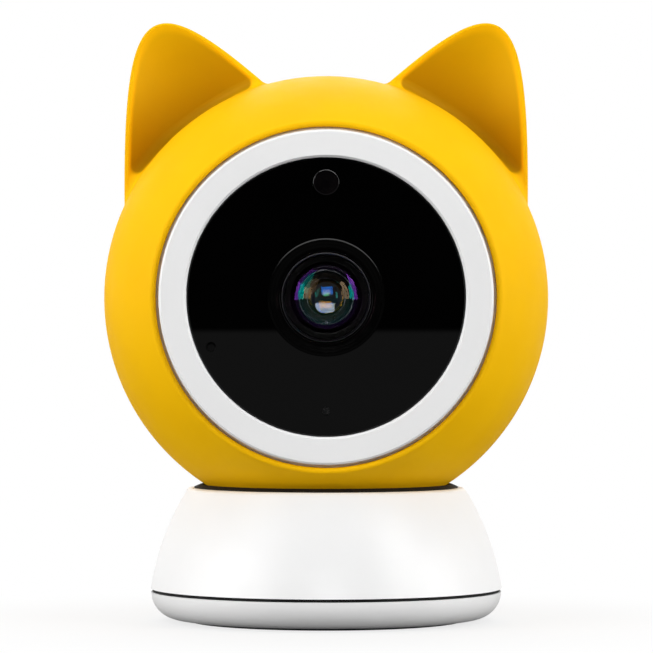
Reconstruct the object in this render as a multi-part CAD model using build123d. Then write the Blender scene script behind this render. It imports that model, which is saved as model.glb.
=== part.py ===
# Pan-and-tilt pet camera: a ball head in a cat-ear silicone sleeve on a weighted cone base.
#
# Millimetres, +Z up, the lens looks along -Y. The origin is the centre of the foot on the table.
# Head pieces are drawn in the head's own frame: x to the right, y up, z out of the face, origin at
# the middle of the ball. The tilt axis is that frame's x axis, and the pan axis is the world Z axis.

from build123d import *

import os
from math import acos, asin, cos, degrees, hypot, pi, radians, sin, sqrt, tan

# Ball and sleeve
ball_r = 40.0
shell_wall = 2.0
sleeve_gap = 0.15
sleeve_wall = 1.85
sleeve_collar_gap = 0.6
sleeve_lip_r = 0.6
shell_lip = 1.5
shell_lip_gap = 0.1

# Ears: the rim outline is the hyperbola that a plane cuts from a cone
ear_side_angle = 31.86
ear_stand = 19.83
ear_lean = 23.7
ear_tip_r = 4.25
ear_edge_angle = 19.86
ear_rim_front = 1.0
ear_rim = 1.35
ear_rim_round = 0.3
ear_back_shift = 10.0
ear_root_r = 1.6
ear_root_depth = 0.6

# Face
ring_wide = 5.05
face_setback = 11.8
edge_chamfer = 0.4
panel_r = 25.45
panel_gap = 0.1
panel_recess = 0.5
panel_thick = 2.0
ledge_wide = 2.45
ledge_thick = 1.5
bezel_wide = 2.65
light_sensor_inset = 4.45
light_sensor_r = 2.55
mic_inset = 2.56
mic_angle = 203.4
mic_hole_r = 0.9
mic_port_r = 0.5
led_inset = 4.65
led_hole_r = 0.8
window_gap = 0.05

# Lens
lens_rim_r = 8.2
lens_rim_wall = 0.45
lens_recess = 0.8
lens_front_curve = 12.0
lens_back_curve = 8.5
lens_edge_thick = 1.0
lens_thread_r = 6.0
lens_thread_gap = 0.05
lens_tail = 1.3
lens_hollow_land = 1.6
inner_lens_r = 3.5
inner_lens_gap = 1.462
inner_lens_curve = 6.0
inner_lens_thick = 1.4
baffle_r = 4.9

# Boards in the head
main_board_r = 29.0
lens_focus_gap = 0.3
board_thick = 1.2
main_board_flat = 21.0
board_screw_inset = 2.0
board_screw_long = 6.0
board_screw_angles = (35, 145, 215, 325)
board_post_r = 2.3
processor_wide = 13.0
processor_up = 4.5
processor_thick = 1.6
ir_board_lap = 1.3
ir_board_thick = 0.8
ir_led_count = 8
ir_led_r = 1.5
ir_led_inset = 6.8
bezel_flange = 1.75
seat_gap = 0.1

# Night filter
filter_travel = 6.6
filter_window_r = 2.9
filter_plate_high = 8.0
filter_plate_thick = 0.8
mount_wide = 24.0
mount_high = 15.0
mount_deep = 5.0
mount_tube = 3.3
mount_screw_long = 4.0
coil_r = 2.0
coil_half_long = 4.5
coil_foot_half = 1.6
coil_cheek = 0.4

# Tilt drive
tilt_down = 15.0
tilt_up = 35.0
arm_thick = 3.5
arm_gear_gap = 0.9
yoke_half_deep = 4.4
neck_half_wide = 7.0
neck_half_deep = 3.0
yoke_screw_front = 6.2
yoke_screw_long = 4.5
yoke_head_sink = 1.1
slot_side_gap = 1.2
slot_corner_r = 3.0
sleeve_slot_margin = 1.0
pin_r = 2.0
pin_fit = 0.02
run_gap = 0.05
arm_boss_r = 5.6
hub_flats = 8.0
hub_clearance = 0.05
trunnion_boss_r = 6.4
trunnion_wall = 2.5
trunnion_hold = 4.1
gear_boss_gap = 0.4
gear_module = 0.5
tooth_high = 0.8
tooth_deep = 1.0
tooth_backlash = 0.1
pressure_angle = 20.0
tilt_gear_teeth = 40
tilt_pinion_teeth = 14
gear_wide = 2.6
tilt_motor_angle = 243.4
motor_plate_thick = 3.0
motor_plate_inset = 0.1

# Stepper motors
motor_r = 7.5
motor_high = 9.0
motor_flange = 0.8
motor_ear_reach = 10.0
motor_ear_r = 2.4
motor_boss_r = 2.6
motor_boss_high = 0.5
shaft_r = 1.0
shaft_depth = 5.0
motor_screw_long = 6.0

# Screws
shell_screw_inset = 7.0
shell_screw_long = 13.0
shell_screw_head_z = 7.0
shell_post_high = 9.0
screw_hole_land = 1.0
shell_screw_angles = (45, 135, 225, 315)
shell_post_r = 2.4
screw_r = 1.0
screw_head_r = 1.9
screw_head_high = 1.4
small_screw_r = 0.8
small_head_r = 1.6
small_head_high = 1.0
base_screw_inset = 10.45
base_screw_long = 13.0
base_screw_angles = (45, 135, 225, 315)
base_boss_r = 2.8
base_screw_head_z = 2.7

# Aerial
antenna_half_wide = 12.0
antenna_drop = 16.0
antenna_front = 14.0
antenna_rear = 28.0

# Speaker
speaker_up = 6.0
speaker_r = 10.2
speaker_thick = 5.0
speaker_cup_wall = 1.4
speaker_inset = 4.6
grille_hole_r = 0.7
grille_pitch = 2.5
grille_rings = 2
speaker_window_r = 8.2

# Base
base_r = 33.2
base_rim_r = 26.1
base_rim_round = 1.1
rim_flat = 2.28
base_side_curve = 50.0
base_wall = 2.0
seam_low = 5.6
seam_high = 6.2
seam_ring_inset = 0.35
dish_gap = 1.0
dish_floor_z = 18.0
foot_low = 0.5
floor_thick = 2.0
spigot_wall = 1.7
spigot_top = 8.0
spigot_gap = 0.8
pad_wide = 6.3
pad_thick = 1.2

# Pan drive
hub_r = 9.4
hub_low_gap = 0.1
hub_joint_drop = 2.2
hub_stand = 0.4
hub_step_r = 12.0
key_half_long = 1.1
key_half_wide = 1.2
hub_bore_r = 2.2
bush_wall = 1.55
bush_flange_r = 12.6
bush_flange_high = 0.6
bush_drop = 2.0
bush_stand = 0.9
gear_drop = 5.7
pan_gear_thick = 3.0
motor_wall_gap = 2.7
motor_gear_gap = 0.7
pan_pinion_teeth = 15
pan_web_r = 14.0
thrust_thick = 0.9
thrust_bore_r = 4.6
centre_post_r = 9.2
centre_post_top = 8.0
lead_r = 1.4
lead_z = 6.4
lead_bend_r = 3.6
lead_meet_z = 11.2
lead_plug_y = 11.6

# Mount, power and reset
insert_r = 4.5
insert_bore_r = 2.55
insert_top = 4.6
ballast_gap = 1.35
ballast_top = 7.0
power_board_z = 8.6
power_board_thick = 1.0
power_board_inset = 5.8
power_board_left = 12.9
power_board_right = 15.8
power_board_start = 10.6
power_screw_x = 11.2
power_screw_y = 18.2
power_post_r = 1.8
power_screw_long = 5.0
usb_wide = 8.94
usb_high = 3.2
usb_shell = 0.3
usb_deep = 7.2
usb_inset = 5.6
well_wide = 13.0
well_high = 7.4
well_corner_r = 2.4
well_wall = 1.5
well_floor_depth = 0.2
button_angle = 28.0
button_r = 1.8
button_gap = 0.2
button_flange_r = 2.6
button_inset = 1.9
button_stand = 0.4
button_long = 3.3
button_stem_r = 0.8

# Worked-out sizes of the ball and the ears
sleeve_r = ball_r + sleeve_gap + sleeve_wall
shell_in_r = ball_r - shell_wall
dish_r = sleeve_r + dish_gap
ball_centre_z = dish_floor_z + dish_r
ear_tip_x = (sleeve_r + ear_stand) * sin(radians(ear_side_angle))
ear_tip_up = (sleeve_r + ear_stand) * cos(radians(ear_side_angle))

# Worked-out sizes of the face
collar_r = panel_r + panel_gap + ring_wide
sleeve_opening_r = collar_r + sleeve_collar_gap
face_front = ball_r - face_setback
panel_front = face_front - panel_recess
panel_back = panel_front - panel_thick
ledge_r = panel_r - ledge_wide
ledge_front = panel_back - window_gap
ledge_back = ledge_front - ledge_thick
light_sensor_up = panel_r - light_sensor_inset
mic_x = (panel_r - mic_inset) * cos(radians(mic_angle))
mic_up = (panel_r - mic_inset) * sin(radians(mic_angle))
led_up = led_inset - panel_r

# Worked-out sizes of the lens and the boards behind it
lens_hole_r = lens_rim_r + bezel_wide
ir_window_r = lens_hole_r + bezel_flange
lens_glass_r = lens_rim_r - lens_rim_wall
lens_front = panel_front - lens_recess
lens_glass_edge = lens_front - lens_front_curve + sqrt(lens_front_curve**2 - lens_glass_r**2)
lens_glass_back = lens_glass_edge - lens_edge_thick
inner_lens_front = lens_glass_back - inner_lens_gap
inner_lens_back = inner_lens_front - inner_lens_thick
lens_rear = inner_lens_back - lens_tail
main_board_front = lens_rear - lens_focus_gap - mount_deep
main_board_back = main_board_front - board_thick
board_screw_pcd_r = main_board_r - board_screw_inset
filter_z = main_board_front + mount_deep / 2
ir_board_r = ledge_r + ir_board_lap
ir_led_pcd_r = ir_board_r - ir_led_inset
ir_board_front = ledge_back - seat_gap

# Worked-out sizes of the tilt drive and the rear of the ball
trunnion_seat_x = ball_r - trunnion_wall
trunnion_boss_x = trunnion_seat_x - trunnion_hold
tilt_gear_x = trunnion_boss_x - gear_boss_gap - gear_wide
tilt_gear_r = gear_module * tilt_gear_teeth / 2
tilt_pinion_r = gear_module * tilt_pinion_teeth / 2
yoke_out_r = tilt_gear_x - arm_gear_gap
yoke_in_r = yoke_out_r - arm_thick
motor_plate_x = yoke_out_r - motor_plate_inset - motor_plate_thick
shell_screw_pcd_r = ball_r - shell_screw_inset
speaker_seat = shell_in_r - speaker_inset
antenna_low = shell_in_r - antenna_drop

# Worked-out sizes of the base
base_top = ball_centre_z - sqrt(dish_r**2 - (base_rim_r - rim_flat) ** 2)
base_screw_pcd_r = base_r - base_screw_inset
pad_r = base_screw_pcd_r
ballast_r = base_screw_pcd_r - base_boss_r - ballast_gap
power_board_r = base_r - power_board_inset
usb_mouth_y = base_r - usb_inset
usb_z = power_board_z + power_board_thick + usb_high / 2
button_face = base_r - button_inset
button_seat = button_face - button_stand
button_inner = button_face - button_long
floor_top = foot_low + floor_thick

# Worked-out sizes of the pan drive: the gear is as large as the motor's place by the wall allows
pan_motor_reach = base_r - base_wall - motor_wall_gap - motor_r
pan_gear_teeth = round(2 * pan_motor_reach / gear_module) - pan_pinion_teeth
pan_gear_r = gear_module * pan_gear_teeth / 2
pan_pinion_r = gear_module * pan_pinion_teeth / 2
pan_motor_y = -(pan_gear_r + pan_pinion_r)
pan_gear_low = dish_floor_z - gear_drop
motor_face_z = pan_gear_low - motor_gear_gap
hub_low = centre_post_top + thrust_thick + hub_low_gap
hub_top = dish_floor_z + hub_stand
hub_joint = hub_top - hub_joint_drop
bush_low = dish_floor_z - bush_drop
bush_top = dish_floor_z + bush_stand

# The head's frame and the direction of the tilt axis inside it
HEAD = Pos(0, 0, ball_centre_z) * Rot(90, 0, 0)
SIDE = Plane.YZ
BOTTOM = (Align.CENTER, Align.CENTER, Align.MIN)
seam_turn = 20.0


def disc(radius, low, high):
    return Pos(0, 0, low) * Cylinder(radius, high - low, align=BOTTOM)


def tube(outer, inner, low, high):
    return disc(outer, low, high) - disc(inner, low, high)


def block(x, y, z):
    """A box between pairs of limits."""
    size = (x[1] - x[0], y[1] - y[0], z[1] - z[0])
    return Pos((x[0] + x[1]) / 2, (y[0] + y[1]) / 2, (z[0] + z[1]) / 2) * Box(*size)


def spun(*lines):
    """A closed outline of (radius, height) lines, turned about Z with its seam off other features."""
    return Rot(0, 0, seam_turn) * revolve(Plane.XZ * make_face(lines), Axis.Z)


def ball(radius):
    return Rot(0, 0, seam_turn) * Sphere(radius)


def circle_arc(radius, start, end, centre_z=0.0):
    """An arc about a point on Z, from one angle above the horizontal to another."""
    points = []
    for angle in (start, (start + end) / 2, end):
        points.append((radius * cos(radians(angle)), centre_z + radius * sin(radians(angle))))
    return ThreePointArc(*points)


def polar(radius, angle):
    return radius * cos(radians(angle)), radius * sin(radians(angle))


def at_angles(shape, radius, angles):
    return [Pos(*polar(radius, angle), 0) * shape for angle in angles]


def joined(shapes):
    shapes = list(shapes)
    return shapes[0].fuse(*shapes[1:]) if len(shapes) > 1 else shapes[0]


def screw(thread_r, head_r, head_high, length):
    """A pan-head screw: the head sits above z 0 and the thread runs down."""
    body = disc(thread_r, -length, 0) + disc(head_r, 0, head_high)
    top = body.edges().filter_by(GeomType.CIRCLE).sort_by(Axis.Z)[-1]
    drive = Pos(0, 0, head_high) * Box(head_r * 1.2, head_r * 0.25, head_high * 0.8)
    return fillet(top, head_high * 0.4) - drive - Rot(0, 0, 90) * drive


# Gears
def spur_gear(teeth, wide, tooth_at):
    """An involute gear about Z with one tooth centred on the angle tooth_at."""
    pitch_r = gear_module * teeth / 2
    base_circle = pitch_r * cos(radians(pressure_angle))
    tip_r = pitch_r + tooth_high * gear_module
    root_r = pitch_r - tooth_deep * gear_module

    def half_tooth(radius):
        roll = acos(min(1.0, base_circle / radius))
        at_pitch = tan(radians(pressure_angle)) - radians(pressure_angle)
        half_pitch = pi / (2 * teeth) - tooth_backlash / (2 * pitch_r)
        return degrees(half_pitch + at_pitch - (tan(roll) - roll))

    flank = [root_r, max(root_r, base_circle), pitch_r, tip_r]
    flank = sorted(set(flank))
    outline = []
    for tooth in range(teeth):
        middle = tooth_at + 360 * tooth / teeth
        outline += [polar(r, middle - half_tooth(r)) for r in flank]
        outline += [polar(r, middle + half_tooth(r)) for r in reversed(flank)]
    return extrude(make_face(Polyline(*outline, close=True)), wide)


def stepper_motor():
    """A round geared stepper about Z: mounting face at z 0, can below, with a blind shaft hole."""
    can = disc(motor_r, -motor_high, -motor_flange)
    can = fillet(can.edges().filter_by(GeomType.CIRCLE).sort_by(Axis.Z)[0], 0.8)
    outline = SlotCenterToCenter(2 * motor_ear_reach, 2 * motor_ear_r) + Circle(motor_r)
    holes = [Pos(x, 0) * Circle(small_screw_r + 0.1) for x in (-motor_ear_reach, motor_ear_reach)]
    flange = Pos(0, 0, -motor_flange) * extrude(outline - holes, motor_flange)
    plug = block((-3.4, 3.4), (motor_r - 1.5, motor_r + 1.6), (-motor_high + 1, -motor_flange - 1.5))
    boss = disc(motor_boss_r, 0, motor_boss_high)
    return can + flange + plug + boss - disc(shaft_r + run_gap, -shaft_depth, motor_boss_high)


def motor_pinion(teeth, gap, wide, tooth_at):
    """A pinion on its shaft, for a motor whose face is gap below the gear."""
    gear = Pos(0, 0, gap) * spur_gear(teeth, wide, tooth_at)
    return gear + disc(shaft_r, -shaft_depth + 0.3, gap + wide)


# Head shells
def slot_cutter(margin):
    """The path of the neck through the ball's underside, from full tilt down to full tilt up."""
    half_wide = neck_half_wide + slot_side_gap + margin
    half_angle = degrees(asin((neck_half_deep + slot_side_gap + margin) / ball_r))
    front, rear = -tilt_down - half_angle, tilt_up + half_angle
    inner, outer = yoke_out_r + 2.0, sleeve_r + 4.0

    def below(radius, angle):
        return -radius * cos(radians(angle)), -radius * sin(radians(angle))

    middle = (front + rear) / 2
    face = make_face(
        [
            ThreePointArc(below(outer, front), below(outer, middle), below(outer, rear)),
            Line(below(outer, rear), below(inner, rear)),
            ThreePointArc(below(inner, rear), below(inner, middle), below(inner, front)),
            Line(below(inner, front), below(outer, front)),
        ]
    )
    cutter = extrude(SIDE * face, half_wide, both=True)
    corners = cutter.edges().filter_by(GeomType.LINE).filter_by(lambda e: e.length > outer - inner - 0.1)
    return fillet([e for e in corners if abs(abs(e.center().X) - half_wide) < 0.01], slot_corner_r + margin)


def hex_along_x(flats, low, high):
    outline = RegularPolygon(flats / 2, 6, major_radius=False)
    return SIDE * (Pos(0, 0, low) * extrude(outline, high - low))


def trunnion_bosses():
    """Both side bosses, with the six-sided seats that hold the tilt gear and the tilt bush."""
    right = SIDE * disc(trunnion_boss_r, trunnion_boss_x, ball_r) & ball(ball_r - shell_wall / 2)
    right -= hex_along_x(hub_flats + 2 * hub_clearance, trunnion_boss_x, trunnion_seat_x)
    return right + mirror(right, Plane.YZ)


def wall_posts(radius, low, high):
    """Four screw posts near the wall, each tied to it by a rib."""
    post = disc(radius, low, high)
    rib = block((0, ball_r - shell_screw_pcd_r), (-1, 1), (low, high))
    posts = [Rot(0, 0, a) * Pos(shell_screw_pcd_r, 0, 0) * (post + rib) for a in shell_screw_angles]
    return joined(posts) & ball(ball_r - shell_wall / 2)


def front_shell():
    start = degrees(asin(ledge_back / shell_in_r))
    collar = degrees(acos(collar_r / ball_r))
    seat_r = panel_r + panel_gap
    outline = [
        circle_arc(ball_r, 0, collar),
        Polyline(
            polar(ball_r, collar),
            (collar_r, face_front - edge_chamfer),
            (collar_r - edge_chamfer, face_front),
            (seat_r + edge_chamfer, face_front),
            (seat_r, face_front - edge_chamfer),
            (seat_r, ledge_front),
            (ledge_r, ledge_front),
            (ledge_r, ledge_back),
            polar(shell_in_r, start),
        ),
        circle_arc(shell_in_r, start, 0),
        Line((shell_in_r, 0), (ball_r, 0)),
    ]
    front_half = block((-ball_r, ball_r), (-ball_r, ball_r), (0, ball_r))
    shell = spun(*outline) + (trunnion_bosses() & front_half) + wall_posts(shell_post_r, 0, shell_post_high)
    board_post = disc(board_post_r, main_board_front, ledge_back + 0.3)
    for post in at_angles(board_post, board_screw_pcd_r, board_screw_angles):
        shell += post
    board_hole = disc(small_screw_r, main_board_front, ledge_back - 2)
    for hole in at_angles(board_hole, board_screw_pcd_r, board_screw_angles):
        shell -= hole
    shell_hole = disc(screw_r, 0, shell_post_high - screw_hole_land)
    for hole in at_angles(shell_hole, shell_screw_pcd_r, shell_screw_angles):
        shell -= hole
    for angle in (0, 90, 180, 270):
        shell += Rot(0, 0, angle) * board_clip()
    shell -= round_window(mic_x, mic_up, mic_hole_r + 1, ledge_back, ledge_front)
    shell -= round_window(0, light_sensor_up, light_sensor_r + 0.6, ledge_back, ledge_front)
    lip_r = ball_r - shell_wall / 2 + shell_lip_gap
    shell -= tube(lip_r, shell_in_r - 0.5, 0, shell_lip + shell_lip_gap)
    return shell - slot_cutter(0)


def board_clip():
    """A hook behind the ledge that holds the edge of the infrared board."""
    inner = ir_board_r + seat_gap
    hook_front = ir_board_front - ir_board_thick - seat_gap
    hook_back = hook_front - 1.0
    arm = block((inner, inner + 1.4), (-2, 2), (hook_back, ledge_back + 0.3))
    return arm + block((inner - 1.0, inner + 1.4), (-2, 2), (hook_back, hook_front))


def round_window(x, up, radius, back, front):
    return Pos(x, up, 0) * disc(radius, back, front)


def rear_shell():
    outline = [
        circle_arc(ball_r, 0, -90),
        Line((0, -ball_r), (0, -shell_in_r)),
        circle_arc(shell_in_r, -90, 0),
        Line((shell_in_r, 0), (ball_r, 0)),
    ]
    rear_half = block((-ball_r, ball_r), (-ball_r, ball_r), (-ball_r, 0))
    posts = wall_posts(shell_post_r, -shell_in_r, 0)
    cup = Pos(0, speaker_up, 0) * disc(speaker_r + speaker_cup_wall, -shell_in_r, -speaker_seat + 4.5)
    shell = spun(*outline) + (trunnion_bosses() & rear_half) + posts + (cup & ball(ball_r - shell_wall / 2))
    bore = disc(speaker_r + seat_gap, -speaker_seat, -speaker_seat + 5)
    bore += disc(speaker_r - 1.2, -ball_r, -speaker_seat)
    shell -= Pos(0, speaker_up, 0) * bore & ball(shell_in_r)
    well = disc(screw_head_r + 0.3, -ball_r, -shell_screw_head_z) + disc(screw_r + 0.2, -ball_r, 0)
    for cut in at_angles(well, shell_screw_pcd_r, shell_screw_angles):
        shell -= cut
    lip = tube(ball_r - shell_wall / 2, shell_in_r, -0.5, shell_lip)
    lip -= trunnion_clearance()
    shell = shell + lip - slot_cutter(0)
    return shell - speaker_grille()


def trunnion_clearance():
    """Room for the front half's bosses and posts where the rear half's lip passes them."""
    room = [SIDE * disc(trunnion_boss_r + 0.4, -ball_r, ball_r)]
    for angle in shell_screw_angles:
        room.append(Rot(0, 0, angle) * block((0, ball_r), (-1.4, 1.4), (0, shell_lip + 1)))
    return joined(room)


def speaker_grille():
    """Rings of round sound holes through the rear wall."""
    hole = disc(grille_hole_r, -ball_r - 1, -speaker_seat)
    holes = [hole]
    for ring in range(1, grille_rings + 1):
        count = 6 * ring
        holes += at_angles(hole, grille_pitch * ring, [360 * k / count for k in range(count)])
    return [Pos(0, speaker_up, 0) * h for h in holes]


# Sleeve with ears
def cone_from(apex, axis_angle, half_angle, low, high):
    """Part of a cone in the ear's frame: x runs down the ear and z points out of its front."""
    along = Vector(cos(axis_angle), 0, -sin(axis_angle))
    seat = Plane(origin=Vector(*apex) + along * low, x_dir=(0, 1, 0), z_dir=along)
    return seat * Cone(low * tan(half_angle), high * tan(half_angle), high - low, align=BOTTOM)


def right_ear():
    """A cupped ear: the rim plane cuts two cones, a deep one for the back and a smaller one for the cup."""
    edge = radians(ear_edge_angle)
    off_axis = ear_tip_r / tan(edge)
    to_tip = off_axis / tan(edge)
    reach = to_tip + ear_tip_up

    # Every circular cone through the rim's hyperbola has its apex on the focal ellipse
    focus = hypot(to_tip, off_axis)
    turn = acos(ear_back_shift / focus)
    apex = (ear_back_shift, 0, off_axis * sin(turn))
    axis = Vector(focus * sin(turn), 0, -off_axis * cos(turn)).normalized()
    to_vertex = Vector(to_tip - ear_back_shift, 0, -apex[2])
    back_half = radians(axis.get_angle(to_vertex))
    back = cone_from(apex, asin(-axis.Z), back_half, to_tip / 3, reach - ear_back_shift)

    inset = ear_rim / sin(edge)
    cup_off_axis = (to_tip + ear_rim - inset) * tan(edge)
    cup = cone_from((inset, 0, cup_off_axis), 0, edge, to_tip / 3, reach)
    ear = back - cup & block((0, reach), (-reach, reach), (-reach, 0))
    ear = fillet(ear.edges().filter_by(GeomType.HYPERBOLA), ear_rim_round)

    lean = radians(ear_lean)
    centre = Vector(ear_tip_x + to_tip * sin(lean), ear_tip_up + to_tip * cos(lean), ear_rim_front)
    frame = Plane(origin=centre, x_dir=(-sin(lean), -cos(lean), 0), z_dir=(0, 0, 1))
    return frame * ear - ball(sleeve_r - ear_root_depth)


def ear_root_edges(skin):
    """The long edges where the back and the cup of each ear meet the ball."""

    def on_ball(edge):
        return all(abs((edge @ t).length - sleeve_r) < 0.01 for t in (0, 0.3, 0.7, 1))

    return [e for e in skin.edges().filter_by(GeomType.BSPLINE) if e.length > ear_tip_r * 5 and on_ball(e)]


def cat_ear_sleeve():
    ear = right_ear()
    skin = ball(sleeve_r) + ear + mirror(ear, Plane.YZ)
    skin = fillet(ear_root_edges(skin), ear_root_r)
    skin -= ball(ball_r + sleeve_gap)
    skin -= disc(sleeve_opening_r, 0, sleeve_r)
    circles = skin.edges().filter_by(GeomType.CIRCLE)
    lip = [e for e in circles if abs(e.radius - sleeve_opening_r) < 0.01]
    skin = fillet(max(lip, key=lambda e: e.center().Z), sleeve_lip_r)
    skin -= Pos(0, speaker_up, 0) * disc(speaker_window_r, -sleeve_r, 0)
    return skin - slot_cutter(sleeve_slot_margin)


# Face and lens
def face_panel():
    panel = disc(panel_r, panel_back, panel_front)
    panel = chamfer(panel.edges().sort_by(Axis.Z)[-1], edge_chamfer / 2)
    panel -= disc(lens_hole_r, panel_back, panel_front)
    panel -= round_window(0, light_sensor_up, light_sensor_r, panel_back, panel_front)
    panel -= round_window(mic_x, mic_up, mic_hole_r, panel_back, panel_front)
    return panel - round_window(0, led_up, led_hole_r, panel_back, panel_front)


def lens_bezel():
    """A funnel ring between the lens head and the panel, with a flange behind the panel."""
    inner = lens_rim_r + seat_gap
    outer = lens_hole_r - seat_gap
    flange_r = ir_window_r - 3 * seat_gap
    outline = [
        (inner, ledge_back + 0.2),
        (flange_r, ledge_back + 0.2),
        (flange_r, ledge_front),
        (outer, ledge_front),
        (outer, panel_front - 0.2),
        (inner, lens_front - 0.3),
    ]
    return spun(Polyline(*outline, close=True))


def lens_barrel():
    head_low = main_board_front + mount_deep + mount_tube + 0.1
    bore_r = lens_glass_r + window_gap
    inner_bore_r = inner_lens_r + window_gap
    outline = [
        (lens_rim_r, head_low),
        (lens_rim_r, lens_front - 0.5),
        (lens_rim_r - 0.2, lens_front - 0.2),
        (bore_r + 0.3, lens_front - 0.2),
        (bore_r, lens_front - 0.7),
        (bore_r, lens_glass_back - window_gap),
        (lens_glass_r - lens_hollow_land, lens_glass_back - window_gap),
        (baffle_r, lens_glass_back - 0.5),
        (baffle_r, inner_lens_front + 0.3),
        (inner_bore_r, inner_lens_front),
        (inner_bore_r, inner_lens_back - window_gap),
        (inner_lens_r - 0.6, inner_lens_back - window_gap),
        (inner_lens_r - 0.6, lens_rear),
        (lens_thread_r, lens_rear),
        (lens_thread_r, head_low),
    ]
    return spun(Polyline(*outline, close=True))


def front_lens():
    """A domed glass with a hollow back."""
    hollow_r = lens_glass_r - lens_hollow_land
    top = degrees(acos(lens_glass_r / lens_front_curve))
    hollow_angle = degrees(acos(hollow_r / lens_back_curve))
    hollow_z = lens_glass_back - lens_back_curve * sin(radians(hollow_angle))
    return spun(
        circle_arc(lens_front_curve, top, 90, lens_front - lens_front_curve),
        Line((0, lens_front), (0, hollow_z + lens_back_curve)),
        circle_arc(lens_back_curve, 90, hollow_angle, hollow_z),
        Line((hollow_r, lens_glass_back), (lens_glass_r, lens_glass_back)),
        Line((lens_glass_r, lens_glass_back), (lens_glass_r, lens_glass_edge)),
    )


def inner_lens():
    back = inner_lens_back
    top = degrees(acos(inner_lens_r / inner_lens_curve))
    edge = inner_lens_front - inner_lens_curve * (1 - sin(radians(top)))
    return spun(
        circle_arc(inner_lens_curve, top, 90, inner_lens_front - inner_lens_curve),
        Polyline((0, inner_lens_front), (0, back), (inner_lens_r, back), (inner_lens_r, edge)),
    )


# Image sensor, lens mount and night filter
def mount_screw_places():
    return [(mount_wide / 2 - 2, mount_high / 2 - 1.6), (2 - mount_wide / 2, 1.6 - mount_high / 2)]


def lens_mount():
    low, high = main_board_front, main_board_front + mount_deep
    body = block((-mount_wide / 2, mount_wide / 2), (-mount_high / 2, mount_high / 2), (low, high))
    body = fillet(body.edges().filter_by(Axis.Z), 1.2) + disc(lens_thread_r + 1.5, high, high + mount_tube)
    body -= disc(lens_thread_r + lens_thread_gap, high, high + mount_tube)
    body -= disc(filter_window_r + 0.5, low, high)
    body -= block((-4.5, 4.5), (-3.5, 3.5), (low, low + 1.4))
    stop = filter_window_r + 0.5 + filter_travel + run_gap
    half_high = filter_plate_high / 2 + run_gap
    half_thick = filter_plate_thick / 2 + run_gap
    track = (filter_z - half_thick, filter_z + half_thick)
    body -= block((-mount_wide / 2, stop), (-half_high, half_high), track)
    for x, up in mount_screw_places():
        body -= Pos(x, up, 0) * disc(small_screw_r, low, low + 4)
    return body


def filter_slider():
    """The plate that swaps the infrared filter for a clear window."""
    edge = filter_window_r + 0.5
    half_high = filter_plate_high / 2
    half_thick = filter_plate_thick / 2
    deep = (filter_z - half_thick, filter_z + half_thick)
    plate = block((-filter_travel - edge, edge), (-half_high, half_high), deep)
    for x in (0, -filter_travel):
        plate -= Pos(x, 0, 0) * disc(filter_window_r, filter_z - 1, filter_z + 1)
    return plate


def night_filters():
    half = filter_plate_thick / 2 - 0.1
    glass = disc(filter_window_r - pin_fit, filter_z - half, filter_z + half)
    return Compound([glass, Pos(-filter_travel, 0, 0) * glass])


def filter_coil():
    """The coil that throws the filter plate, lying on top of the lens mount."""
    half = coil_half_long
    top = mount_high / 2
    middle = Pos(top + coil_r, filter_z, 0)
    core = SIDE * (middle * disc(coil_r, -half, half))
    foot = block((-half, half), (top, top + coil_r), (filter_z - coil_foot_half, filter_z + coil_foot_half))
    cheek = SIDE * (middle * disc(coil_r + coil_cheek, half, half + 2 * coil_cheek))
    cheek &= block((0, ball_r), (top, ball_r), (0, ball_r))
    return core + foot + cheek + mirror(cheek, Plane.YZ)


def image_sensor():
    chip = block((-3.8, 3.8), (-2.9, 2.9), (main_board_front, main_board_front + 1.0))
    return chip - block((-2.8, 2.8), (-2.0, 2.0), (main_board_front + 0.9, main_board_front + 1.0))


# Boards
def main_board():
    board = disc(main_board_r, main_board_back, main_board_front)
    board &= block((-ball_r, ball_r), (-main_board_flat, ball_r), (0, ball_r))
    for hole in at_angles(disc(small_screw_r + 0.1, 0, ball_r), board_screw_pcd_r, board_screw_angles):
        board -= hole
    for x, up in mount_screw_places():
        board -= Pos(x, up, 0) * disc(small_screw_r + 0.1, 0, ball_r)
    return board


def rear_facing_screw(length):
    """A small screw driven from behind, with its head on the back of the main board."""
    one = screw(small_screw_r, small_head_r, small_head_high, length)
    return Pos(0, 0, main_board_back) * Rot(180, 0, 0) * one


def board_screws():
    return Compound(at_angles(rear_facing_screw(board_screw_long), board_screw_pcd_r, board_screw_angles))


def mount_screws():
    return Compound([Pos(x, up, 0) * rear_facing_screw(mount_screw_long) for x, up in mount_screw_places()])


def processor():
    half = processor_wide / 2
    across = (-half, half)
    up = (processor_up - half, processor_up + half)
    chip = block(across, up, (main_board_back - processor_thick, main_board_back))
    return chamfer(chip.edges().group_by(Axis.Z)[0], 0.3)


def ir_board():
    low = ir_board_front - ir_board_thick
    board = tube(ir_board_r, ir_window_r, low, ir_board_front)
    notch = disc(board_post_r + seat_gap, low, ir_board_front)
    for clear in at_angles(notch, board_screw_pcd_r, board_screw_angles):
        board -= clear
    return board - round_window(mic_x, mic_up, mic_port_r, 0, ball_r)


def ir_leds():
    base = disc(ir_led_r, ir_board_front, ir_board_front + 0.6)
    dome = Pos(0, 0, ir_board_front + 0.6) * Sphere(ir_led_r - 0.5)
    dome &= disc(ir_led_r, ir_board_front, ledge_front)
    step = 360 / ir_led_count
    angles = [step * (k + 0.5) for k in range(ir_led_count)]
    return Compound(at_angles(base + dome, ir_led_pcd_r, angles))


def chip_on_ir_board(up, wide, high):
    deep = (ir_board_front, ir_board_front + 0.7)
    return block((-wide / 2, wide / 2), (up - high / 2, up + high / 2), deep)


def light_sensor():
    return chip_on_ir_board(light_sensor_up, 2.0, 1.4)


def status_led():
    return chip_on_ir_board(led_up, 1.6, 0.8)


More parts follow.
